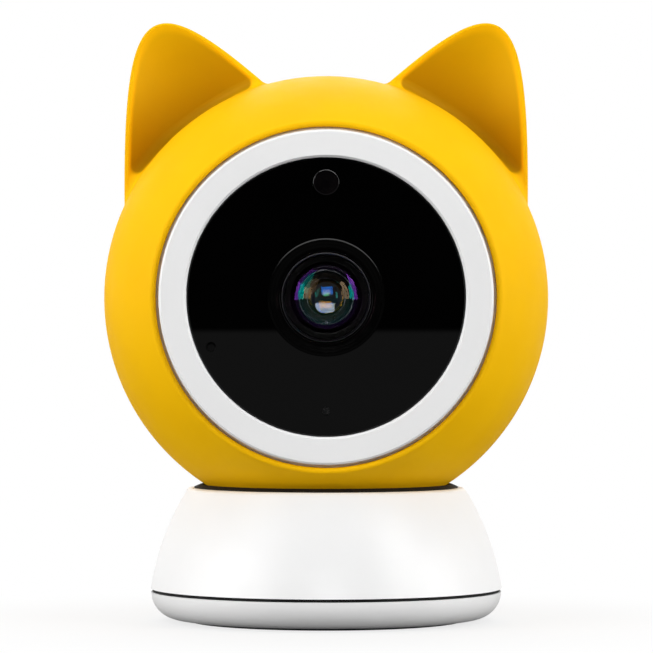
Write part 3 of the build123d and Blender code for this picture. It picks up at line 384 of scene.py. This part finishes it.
def acrylic_black():
    """Polished black acrylic that passes infrared: a deep mirror-like black."""
    material, tree, shader, place = start_material("polished_acrylic_black", {"IOR": 1.49})
    mottle(tree, shader, place, "Base Color", linear("010101"), linear("020202"), size=30)
    mottle(tree, shader, place, "Roughness", grey(0.004), grey(0.012), size=9)
    return material


def abs_black():
    """Black ABS from a polished tool: a deep black with thin soft lights along its edges."""
    values = {"IOR": 1.53, "Specular IOR Level": 0.1}
    material, tree, shader, place = start_material("polished_abs_black", values)
    mottle(tree, shader, place, "Base Color", linear("020202"), linear("040404"), size=12)
    mottle(tree, shader, place, "Roughness", grey(0.07), grey(0.1), size=2)
    grain(tree, shader, place, size=0.3, height=0.008)
    return material


def aluminium_black():
    """Turned and black-anodised aluminium: dark metal with fine lathe rings about the lens axis."""
    material, tree, shader, place = start_material("anodised_aluminium_black", {"Metallic": 1.0})
    mottle(tree, shader, place, "Base Color", linear("121214"), linear("1A1A1D"), size=6)
    mottle(tree, shader, place, "Roughness", grey(0.26), grey(0.38), size=1.5)
    centred = add(
        tree,
        "ShaderNodeMapping",
        {"Location": (0, 0, -BALL_CENTRE.z)},
        {"Vector": place},
    )
    # Lathe marks are about 0.05 mm apart, and are drawn at nearly 2 mm so that they show
    rings = add(
        tree,
        "ShaderNodeTexWave",
        {"Scale": 2 * pi * per_mm(LATHE_PITCH) / WAVE_RATE, "Distortion": 0.4},
        {"Vector": centred.outputs["Vector"]},
        wave_type="RINGS",
        rings_direction="Y",
    )
    bump = add(
        tree,
        "ShaderNodeBump",
        {"Strength": LATHE_STRENGTH, "Distance": LATHE_HEIGHT * MM},
        {"Height": rings.outputs["Fac"]},
    )
    tree.links.new(bump.outputs["Normal"], shader.inputs["Normal"])
    return material


def coated_glass(name, coat):
    """Polished optical glass under a thin clear coating, whose thickness tints its reflections."""
    values = {
        "IOR": 1.52,
        "Specular IOR Level": 0.25,
        "Transmission Weight": 1.0,
        "Thin Film Thickness": coat,
        "Thin Film IOR": COAT_IOR,
    }
    material, tree, shader, place = start_material(name, values)
    mottle(tree, shader, place, "Base Color", linear("F4F8FA"), linear("FFFFFF"), size=5)
    mottle(tree, shader, place, "Roughness", grey(0.0), grey(0.01), size=3)
    return material


def edge_lacquer():
    """Matt black lacquer on the ground edge of a lens, which stops stray light in the glass."""
    values = {"IOR": 1.5, "Specular IOR Level": 0.2}
    material, tree, shader, place = start_material("lens_edge_lacquer_black", values)
    mottle(tree, shader, place, "Base Color", linear("030303"), linear("060606"), size=1)
    mottle(tree, shader, place, "Roughness", grey(0.55), grey(0.7), size=0.6)
    return material


def window_dark():
    """Polished smoked acrylic over the light sensor: almost black, with a trace of red-brown."""
    material, tree, shader, place = start_material("smoked_acrylic", {"IOR": 1.49})
    mottle(tree, shader, place, "Base Color", linear("040304"), linear("080607"), size=2)
    mottle(tree, shader, place, "Roughness", grey(0.03), grey(0.05), size=1)
    return material


def pipe_clear():
    """Moulded smoked acrylic light pipe, dark until the lamp behind it is lit."""
    values = {"IOR": 1.49, "Transmission Weight": 0.85}
    material, tree, shader, place = start_material("smoked_acrylic_pipe", values)
    mottle(tree, shader, place, "Base Color", linear("0E0F10"), linear("161718"), size=1)
    mottle(tree, shader, place, "Roughness", grey(0.1), grey(0.2), size=0.5)
    return material


def rubber(name, dark, pale):
    """Moulded rubber: a dull skin with a fine tooth."""
    values = {"IOR": 1.5, "Specular IOR Level": 0.25}
    material, tree, shader, place = start_material(name, values)
    mottle(tree, shader, place, "Base Color", linear(dark), linear(pale), size=5)
    mottle(tree, shader, place, "Roughness", grey(0.65), grey(0.8), size=1.5)
    grain(tree, shader, place, size=0.35, height=0.02)
    return material


def acetal_natural():
    """Moulded acetal: a waxy, slightly translucent off-white, as gears and bushes are."""
    values = {"IOR": 1.48, "Subsurface Weight": 0.15, "Subsurface Scale": 0.5 * MM}
    material, tree, shader, place = start_material("moulded_acetal", values)
    mottle(tree, shader, place, "Base Color", linear("E8E3D4"), linear("F1EDE1"), size=6)
    mottle(tree, shader, place, "Roughness", grey(0.3), grey(0.4), size=2)
    return material


def worked_metal(name, dark, pale, smooth, rough):
    """Drawn or turned bare metal: uneven tone and gloss over a very fine even grain."""
    material, tree, shader, place = start_material(name, {"Metallic": 1.0})
    mottle(tree, shader, place, "Base Color", linear(dark), linear(pale), size=3)
    mottle(tree, shader, place, "Roughness", grey(smooth), grey(rough), size=0.8)
    grain(tree, shader, place, size=0.3, height=0.002)
    return material


def circuit_board():
    """Glass-epoxy board under solder mask: green lacquer with faint copper tracks beneath."""
    material, tree, shader, place = start_material("solder_mask_green", {"IOR": 1.55})
    tracks = add(
        tree,
        "ShaderNodeTexBrick",
        {
            "Color1": linear("0A3A20"),
            "Color2": linear("0C4526"),
            "Mortar": linear("145C33"),
            "Scale": per_mm(6),
            "Mortar Size": 0.05,
        },
        {"Vector": place},
    )
    tree.links.new(tracks.outputs["Color"], shader.inputs["Base Color"])
    mottle(tree, shader, place, "Roughness", grey(0.25), grey(0.35), size=3)
    return material


def chip_epoxy():
    """Moulded epoxy of a chip: dull black with a fine matte tooth."""
    material, tree, shader, place = start_material("moulded_epoxy_black", {"IOR": 1.55})
    mottle(tree, shader, place, "Base Color", linear("111113"), linear("18181A"), size=3)
    mottle(tree, shader, place, "Roughness", grey(0.5), grey(0.62), size=1)
    grain(tree, shader, place, size=0.25, height=0.01)
    return material


def copper_film():
    """Copper on a thin amber film, as a printed aerial is."""
    material, tree, shader, place = start_material("amber_copper_film", {"IOR": 1.6})
    mottle(tree, shader, place, "Base Color", linear("A8622A"), linear("C47A38"), size=4)
    mottle(tree, shader, place, "Roughness", grey(0.25), grey(0.4), size=2)
    return material


def dress_nodes():
    """Gives every carried-over piece the finish of its slot."""
    finishes = {
        "yellow_silicone": silicone_yellow(),
        "white_plastic": abs_white(),
        "black_acrylic": acrylic_black(),
        "black_plastic": abs_black(),
        "black_metal": aluminium_black(),
        "lens_glass": coated_glass("optical_glass_magenta_coat", MAGENTA_COAT),
        "dark_window": window_dark(),
        "clear_pipe": pipe_clear(),
        "black_rubber": rubber("moulded_rubber_black", "060606", "0B0B0B"),
        "grey_rubber": rubber("moulded_rubber_grey", "3F4042", "4A4B4D"),
        "acetal": acetal_natural(),
        "steel": worked_metal("zinc_plated_steel", "9A9B9D", "B4B5B7", smooth=0.22, rough=0.36),
        "brass": worked_metal("turned_brass", "B8904A", "CFA860", smooth=0.2, rough=0.32),
        "circuit_board": circuit_board(),
        "chip": chip_epoxy(),
        "copper_film": copper_film(),
        "cable_jacket": rubber("extruded_pvc_black", "101010", "1A1A1A"),
    }
    for node in NODES.values():
        for index, old in enumerate(node.data.materials):
            node.data.materials[index] = finishes[old.name.split(".")[0]]
    return finishes


def deselect():
    """Clears the selection, of points in edit mode and of objects otherwise."""
    if bpy.context.mode == "EDIT_MESH":
        bpy.ops.mesh.select_all(action="DESELECT")
    else:
        bpy.ops.object.select_all(action="DESELECT")


def weld():
    """Merges points that lie on each other."""
    bpy.ops.mesh.select_all(action="SELECT")
    bpy.ops.mesh.remove_doubles(threshold=MERGE_REACH * MM)


def draw_section(name, start, moves):
    """Draws half the section of a turned piece, in edit mode, from a start and a list of moves in mm.

    A move of (radius, height) is a line to that point. A move of (radius, height, degrees) is an arc
    about that point.
    """
    deselect()
    bpy.ops.mesh.primitive_plane_add(size=MM)
    piece = bpy.context.object
    piece.name = name
    bpy.ops.object.mode_set(mode="EDIT")
    bpy.ops.mesh.merge(type="CENTER")
    here = Vector((start[0], 0, start[1])) * MM
    bpy.ops.transform.translate(value=here)
    for move in moves:
        place = Vector((move[0], 0, move[1])) * MM
        if len(move) == 2:
            bpy.ops.mesh.extrude_region_move(TRANSFORM_OT_translate={"value": place - here})
            here = place
        else:
            turn = radians(move[2])
            # The spin tool counts its angle the other way round from the matrix
            bpy.ops.mesh.spin(steps=ARC_STEPS, angle=-turn, center=place, axis=(0, 1, 0))
            here = place + Matrix.Rotation(turn, 3, "Y") @ (here - place)
    return piece


def soften(places, setback):
    """Rounds the section's corners at these places."""
    deselect()
    mesh = bmesh.from_edit_mesh(bpy.context.object.data)
    spots = [Vector((r, 0, height)) * MM for r, height in places]
    for vertex in mesh.verts:
        if any((vertex.co - spot).length < PICK_REACH * MM for spot in spots):
            vertex.select = True
    mesh.select_flush_mode()
    bmesh.update_edit_mesh(bpy.context.object.data)
    bpy.ops.mesh.bevel(offset=setback * MM, segments=CORNER_STEPS, affect="VERTICES")


def close_piece():
    """Turns all faces outward, leaves edit mode and smooths what isn't an edge."""
    bpy.ops.mesh.select_all(action="SELECT")
    bpy.ops.mesh.normals_make_consistent(inside=False)
    bpy.ops.object.mode_set(mode="OBJECT")
    bpy.ops.object.shade_smooth_by_angle(angle=SMOOTH_ANGLE)


def turn_round(steps):
    """Turns the drawn section once round the Z axis and closes the piece."""
    weld()
    bpy.ops.mesh.spin(steps=steps, angle=2 * pi, center=(0, 0, 0), axis=(0, 0, 1))
    weld()
    close_piece()


def face_forward(piece):
    """Takes a piece turned about Z to the lens axis, with its place in its mesh."""
    piece.location = BALL_CENTRE
    piece.rotation_euler = (pi / 2, 0, 0)
    deselect()
    piece.select_set(True)
    bpy.context.view_layer.objects.active = piece
    bpy.ops.object.transform_apply(location=True, rotation=True, scale=True)


def brighten_edges(piece, places):
    """Gives the rounded edges at these section places the piece's second finish."""
    spots = [Vector(place) * MM for place in places]
    for face in piece.data.polygons:
        section = Vector((face.center.xy.length, face.center.z))
        if any((section - spot).length < EDGE_REACH * MM for spot in spots):
            face.material_index = 1


def stand_for(piece, node, body, slot, *finishes):
    """Finishes a piece and lets it stand for a CAD node on its body."""
    for finish in finishes:
        piece.data.materials.append(finish)
    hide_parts(node)
    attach(piece, body)


def lens_bezel(finish):
    """A polished black ring round the lens: a land with fine turned rings, then a short funnel."""
    low = LENS_FRONT - BEZEL_LIP_SINK
    high = PANEL_FRONT - BEZEL_SINK
    pitch = (BEZEL_R - BEZEL_FUNNEL_R) / BEZEL_RINGS
    fall = BEZEL_FALL / BEZEL_RINGS
    moves = [
        (BEZEL_FLANGE_R, BEZEL_BACK),
        (BEZEL_FLANGE_R, LEDGE_FRONT),
        (BEZEL_R, LEDGE_FRONT),
        (BEZEL_R, high),
    ]
    for ring in range(1, BEZEL_RINGS + 1):
        r = BEZEL_R - ring * pitch
        land = high - ring * fall
        moves += [(r + GROOVE, land), (r + GROOVE / 2, land - GROOVE / 2), (r, land)]
    moves += [(BEZEL_INNER_R, low), (BEZEL_INNER_R, BEZEL_BACK)]
    piece = draw_section("lens_bezel_rings", (BEZEL_INNER_R, BEZEL_BACK), moves)
    soften([(BEZEL_R, high), (BEZEL_INNER_R, low)], BEZEL_ROUND)
    turn_round(RING_STEPS)
    face_forward(piece)
    stand_for(piece, "lens_bezel", "head", "black_plastic", finish)


def lens_barrel(finish, edge_finish):
    """The threaded lens tube, with baffle rings behind the glass and three edges of bare metal."""
    rim = LENS_FRONT - RIM_SINK
    bore_r = LENS_GLASS_R + LENS_CLEAR
    seat = GLASS_BACK - LENS_CLEAR
    inner_bore_r = INNER_LENS_R + LENS_CLEAR
    inner_seat = INNER_LENS_BACK - LENS_CLEAR
    stop_r = INNER_LENS_R - STOP_LEDGE
    moves = [
        (LENS_RIM_R, rim),
        (bore_r + RIM_BREAK_WIDE, rim),
        (bore_r, rim - RIM_BREAK_DEEP),
        (bore_r, seat),
    ]
    ring_wide = (bore_r - BAFFLE_R) / BAFFLE_RINGS
    for ring in range(1, BAFFLE_RINGS + 1):
        r = bore_r - ring * ring_wide
        low = seat - BAFFLE_STEP * ring
        moves += [
            (r + BAFFLE_RIDGE_SHARE * ring_wide, low + BAFFLE_STEP),
            (r + BAFFLE_DIP_SHARE * ring_wide, low - BAFFLE_DIP),
            (r, low),
        ]
    moves += [
        (BAFFLE_R, INNER_LENS_FRONT + FUNNEL_HIGH),
        (inner_bore_r, INNER_LENS_FRONT),
        (inner_bore_r, inner_seat),
        (stop_r, inner_seat),
        (stop_r, LENS_REAR),
        (LENS_THREAD_R, LENS_REAR),
        (LENS_THREAD_R, LENS_HEAD_BACK),
        (LENS_RIM_R, LENS_HEAD_BACK),
    ]
    piece = draw_section("lens_barrel_rings", (LENS_RIM_R, LENS_HEAD_BACK), moves)
    edges = [
        (LENS_RIM_R, rim),
        (BAFFLE_R, seat - BAFFLE_STEP * BAFFLE_RINGS),
        (inner_bore_r, INNER_LENS_FRONT),
    ]
    soften(edges, EDGE_ROUND)
    turn_round(RING_STEPS)
    brighten_edges(piece, edges)
    face_forward(piece)
    stand_for(piece, "lens_barrel", "head", "black_metal", finish, edge_finish)


def front_lens(coat, band_coat, lacquer, back_coat):
    """A domed glass with a hollow back: three coatings, and a blackened edge.

    The dome has its own coating in a band round its middle, and the hollow back has the third.
    """
    dome = asin(LENS_GLASS_R / LENS_FRONT_CURVE)
    hollow = asin(LENS_HOLLOW_R / LENS_BACK_CURVE)
    hollow_centre = GLASS_BACK - sqrt(LENS_BACK_CURVE**2 - LENS_HOLLOW_R**2)
    moves = [
        (0, LENS_FRONT - LENS_FRONT_CURVE, degrees(dome)),
        (LENS_GLASS_R, GLASS_BACK),
        (LENS_HOLLOW_R, GLASS_BACK),
        (0, hollow_centre, -degrees(hollow)),
    ]
    piece = draw_section("front_lens_glass", (0, LENS_FRONT), moves)
    turn_round(LENS_STEPS)
    for face in piece.data.polygons:
        r = face.center.xy.length / MM
        if face.center.z > GLASS_EDGE * MM and face.normal.z > 0:
            face.material_index = 1 if COAT_BAND_R < r < BAFFLE_R else 0
        else:
            face.material_index = 2 if r > LENS_HOLLOW_R else 3
    face_forward(piece)
    stand_for(piece, "front_lens", "head", "lens_glass", coat, band_coat, lacquer, back_coat)


def inner_lens(coat):
    """The second, smaller lens behind the baffle."""
    dome = asin(INNER_LENS_R / INNER_LENS_CURVE)
    moves = [
        (0, INNER_LENS_FRONT - INNER_LENS_CURVE, degrees(dome)),
        (INNER_LENS_R, INNER_LENS_BACK),
        (0, INNER_LENS_BACK),
    ]
    piece = draw_section("inner_lens_glass", (0, INNER_LENS_FRONT), moves)
    turn_round(LENS_STEPS)
    face_forward(piece)
    stand_for(piece, "inner_lens", "head", "lens_glass", coat)


def painted_shade_ring(finish):
    """A black ring on the base's rim, whose lip stops just short of the ball: a dark piece put where the
    gap under the ball lies in shade.
    """
    low = BASE_TOP - SHADE_RING_SINK
    side_high = BASE_TOP + SHADE_RING_SIDE
    lip_high = BASE_TOP + SHADE_RING_LIP_HIGH
    lip_r = sqrt((SLEEVE_R + SHADE_RING_GAP) ** 2 - (BALL_CENTRE.z / MM - lip_high) ** 2)
    foot_r = lip_r + SHADE_RING_SLANT
    moves = [
        (SHADE_RING_R, low),
        (SHADE_RING_R, side_high),
        (lip_r + SHADE_RING_LIP_WIDE, lip_high),
        (lip_r, lip_high),
        (foot_r, low),
    ]
    piece = draw_section("painted_shade_ring", (foot_r, low), moves)
    soften([(SHADE_RING_R, side_high), (lip_r + SHADE_RING_LIP_WIDE, lip_high)], EDGE_ROUND)
    turn_round(RING_STEPS)
    piece.data.materials.append(finish)
    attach(piece, "base")


def foot_pad(finish):
    """The rubber ring that the base stands on, with round treads in its underside."""
    pitch = (FOOT_OUTER_R - FOOT_INNER_R) / (FOOT_TREADS + 1)
    moves = [(FOOT_OUTER_R, FOOT_THICK), (FOOT_OUTER_R, 0)]
    for tread in range(1, FOOT_TREADS + 1):
        outer = FOOT_OUTER_R - tread * pitch + TREAD_WIDE / 2
        inner = FOOT_OUTER_R - tread * pitch - TREAD_WIDE / 2
        moves += [(outer, 0), (outer, TREAD_DEEP), (inner, TREAD_DEEP), (inner, 0)]
    moves += [(FOOT_INNER_R, 0), (FOOT_INNER_R, FOOT_THICK)]
    piece = draw_section("foot_pad_treads", (FOOT_INNER_R, FOOT_THICK), moves)
    soften([(FOOT_OUTER_R, 0), (FOOT_INNER_R, 0)], EDGE_ROUND)
    turn_round(RING_STEPS)
    stand_for(piece, "foot_pad", "base", "grey_rubber", finish)


def thread_ridge():
    """A screw thread: its four-sided section wound up the Z axis, with its ends closed."""
    half = THREAD_PITCH / 2 - THREAD_FLAT
    low = INSERT_LOW + THREAD_START
    root_r = THREAD_ROOT_R + THREAD_BURIED
    middle = low + half
    moves = [
        (THREAD_CREST_R, middle - THREAD_FLAT),
        (THREAD_CREST_R, middle + THREAD_FLAT),
        (root_r, middle + half),
        (root_r, low),
    ]
    ridge = draw_section("thread_ridge", (root_r, low), moves)
    weld()
    bpy.ops.object.mode_set(mode="OBJECT")
    wind = ridge.modifiers.new("wind", "SCREW")
    wind.screw_offset = THREAD_PITCH * MM
    wind.iterations = THREAD_TURNS
    wind.steps = THREAD_STEPS
    wind.render_steps = THREAD_STEPS
    bpy.ops.object.modifier_apply(modifier="wind")
    bpy.ops.object.mode_set(mode="EDIT")
    bpy.ops.mesh.select_all(action="SELECT")
    bpy.ops.mesh.fill_holes(sides=0)
    close_piece()
    return ridge


def tripod_insert(finish):
    """The brass bush for a tripod screw, with its thread inside."""
    moves = [
        (INSERT_R, INSERT_LOW),
        (INSERT_R, INSERT_HIGH),
        (THREAD_ROOT_R, INSERT_HIGH),
        (THREAD_ROOT_R, INSERT_LOW + INSERT_BREAK),
        (THREAD_ROOT_R + INSERT_BREAK, INSERT_LOW),
    ]
    piece = draw_section("tripod_insert_thread", (THREAD_ROOT_R + INSERT_BREAK, INSERT_LOW), moves)
    turn_round(INSERT_STEPS)
    ridge = thread_ridge()
    piece.select_set(True)
    ridge.select_set(True)
    bpy.context.view_layer.objects.active = piece
    bpy.ops.object.join()
    stand_for(piece, "tripod_insert", "base", "brass", finish)


def microphone_mesh(finish):
    """A disc of black acoustic cloth at the bottom of the microphone hole, with a dip inside its rim."""
    r = MIC_HOLE_R - MIC_CLEAR
    back = PANEL_FRONT - MIC_DEEP
    moves = [
        (r, back),
        (r, back + MIC_RIM_THICK),
        (MIC_DIP_SHARE * r, back + MIC_DIP_THICK),
        (0, back + MIC_MIDDLE_THICK),
    ]
    piece = draw_section("microphone_mesh", (0, back), moves)
    turn_round(CLOTH_STEPS)
    face_forward(piece)
    piece.location = Vector((MIC_X, 0, MIC_UP)) * MM
    bpy.ops.object.transform_apply(location=True, rotation=True, scale=True)
    piece.data.materials.append(finish)
    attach(piece, "head")


def backdrop_rays(tree, depth, white_from, dim):
    """How white the stage looks: always to the camera, and behind the object to gloss and glass."""
    path = add(tree, "ShaderNodeLightPath")
    bounced = add(
        tree,
        "ShaderNodeMath",
        links={0: path.outputs["Is Glossy Ray"], 1: path.outputs["Is Transmission Ray"]},
        operation="MAXIMUM",
    )
    # In front of the object the stage stays dim, as the black face mirrors it
    behind = add(
        tree,
        "ShaderNodeMapRange",
        {"From Min": 0.0, "From Max": white_from, "To Min": dim, "To Max": 1.0},
        {"Value": depth},
    )
    mirrored = add(
        tree,
        "ShaderNodeMath",
        links={0: bounced.outputs["Value"], 1: behind.outputs["Result"]},
        operation="MULTIPLY",
    )
    seen = add(
        tree,
        "ShaderNodeMath",
        links={0: path.outputs["Is Camera Ray"], 1: mirrored.outputs["Value"]},
        operation="MAXIMUM",
    )
    return seen.outputs["Value"]


def studio_floor():
    """A pale round floor that reads white and still takes the object's shadow."""
    deselect()
    bpy.ops.mesh.primitive_circle_add(
        vertices=FLOOR_SIDES,
        radius=FLOOR_RADIUS,
        fill_type="NGON",
        location=(0, 0, -FLOOR_DROP),
    )
    floor = bpy.context.object
    floor.name = "studio_floor"
    material = bpy.data.materials.new("pale_paper_sweep")
    material.use_nodes = True
    tree = material.node_tree
    tree.nodes.remove(tree.nodes["Principled BSDF"])
    paper = add(tree, "ShaderNodeBsdfDiffuse", {"Color": grey(PAPER_TONE)})
    place = add(tree, "ShaderNodeTexCoord").outputs["Object"]
    split = add(tree, "ShaderNodeSeparateXYZ", links={"Vector": place})
    seen = backdrop_rays(tree, split.outputs["Y"], FLOOR_WHITE_Y, ROOM_DIM)
    glow = add(tree, "ShaderNodeEmission", {"Color": grey(1.0)}, {"Strength": seen})
    reach = add(tree, "ShaderNodeVectorMath", links={0: place}, operation="LENGTH")
    away = add(
        tree,
        "ShaderNodeMapRange",
        {"From Min": SHADOW_NEAR, "From Max": SHADOW_FAR, "To Min": SHADOW_GLOW, "To Max": 1.0},
        {"Value": reach.outputs["Value"]},
        interpolation_type="SMOOTHSTEP",
    )
    sweep = add(
        tree,
        "ShaderNodeMixShader",
        links={"Fac": away.outputs["Result"], 1: paper.outputs[0], 2: glow.outputs[0]},
    )
    tree.links.new(sweep.outputs[0], tree.nodes["Material Output"].inputs["Surface"])
    floor.data.materials.append(material)


def studio_world():
    """A white studio that is bright behind the object and dark behind the camera."""
    world = bpy.data.worlds.new("studio")
    bpy.context.scene.world = world
    world.use_nodes = True
    tree = world.node_tree
    tree.nodes.clear()
    facing = add(tree, "ShaderNodeTexCoord").outputs["Generated"]
    split = add(tree, "ShaderNodeSeparateXYZ", links={"Vector": facing})
    behind = add(
        tree,
        "ShaderNodeMapRange",
        {
            "From Min": ROOM_DARK_Y,
            "From Max": ROOM_BRIGHT_Y,
            "To Min": ROOM_DARK,
            "To Max": ROOM_BRIGHT,
        },
        {"Value": split.outputs["Y"]},
        interpolation_type="SMOOTHSTEP",
    )
    below = add(
        tree,
        "ShaderNodeMapRange",
        {"From Min": HORIZON_START, "From Max": HORIZON_END, "To Min": 0.0, "To Max": ROOM_DIM},
        {"Value": split.outputs["Z"]},
        interpolation_type="SMOOTHSTEP",
    )
    light = add(
        tree,
        "ShaderNodeMath",
        links={0: behind.outputs["Result"], 1: below.outputs["Result"]},
        operation="ADD",
    )
    seen = backdrop_rays(tree, split.outputs["Y"], ROOM_WHITE_Y, 0.0)
    room = add(tree, "ShaderNodeBackground", {"Color": grey(1.0)}, {"Strength": light.outputs[0]})
    white = add(tree, "ShaderNodeBackground", {"Color": grey(1.0), "Strength": 1.0})
    pick = add(
        tree,
        "ShaderNodeMixShader",
        links={"Fac": seen, 1: room.outputs[0], 2: white.outputs[0]},
    )
    add(tree, "ShaderNodeOutputWorld", links={"Surface": pick.outputs[0]})


def softbox(name, place, wide, high, power):
    """A flat studio light that faces the middle of the ball."""
    data = bpy.data.lights.new(name, "AREA")
    data.shape = "RECTANGLE"
    data.size = wide
    data.size_y = high
    data.energy = power
    lamp = bpy.data.objects.new(name, data)
    bpy.context.scene.collection.objects.link(lamp)
    lamp.location = place
    lamp.rotation_euler = (BALL_CENTRE - Vector(place)).to_track_quat("-Z", "Y").to_euler()


def camera():
    """The camera of the photograph, level and straight ahead of the object."""
    data = bpy.data.cameras.new("camera")
    data.sensor_width = SENSOR_WIDE
    data.lens = LENS_LONG
    data.shift_x = SHIFT_X
    data.shift_y = SHIFT_Y
    taker = bpy.data.objects.new("camera", data)
    bpy.context.scene.collection.objects.link(taker)
    taker.location = (0, -CAMERA_DISTANCE, CAMERA_HEIGHT)
    taker.rotation_euler = (pi / 2, 0, 0)
    bpy.context.scene.camera = taker


finishes = dress_nodes()
bare_edge = worked_metal("bare_aluminium_edge", "48484A", "5A5A5C", smooth=0.3, rough=0.42)
teal_coat = coated_glass("optical_glass_teal_coat", TEAL_COAT)
clear_coat = coated_glass("optical_glass_clear_coat", CLEAR_COAT)
# Black rubber for the ring that stands for the shade under the ball, and for the microphone's cloth
shade_ring_and_cloth = rubber("shade_ring_and_cloth_black", "030303", "060606")

lens_bezel(finishes["black_plastic"])
lens_barrel(finishes["black_metal"], bare_edge)
front_lens(finishes["lens_glass"], teal_coat, edge_lacquer(), clear_coat)
inner_lens(teal_coat)
# Dark ring on the base's rim: painted shade under the ball
painted_shade_ring(shade_ring_and_cloth)
foot_pad(finishes["grey_rubber"])
tripod_insert(finishes["brass"])
microphone_mesh(shade_ring_and_cloth)

studio_floor()
studio_world()
for lamp in LAMPS:
    softbox(*lamp)
camera()
bpy.context.scene.view_settings.view_transform = "Standard"
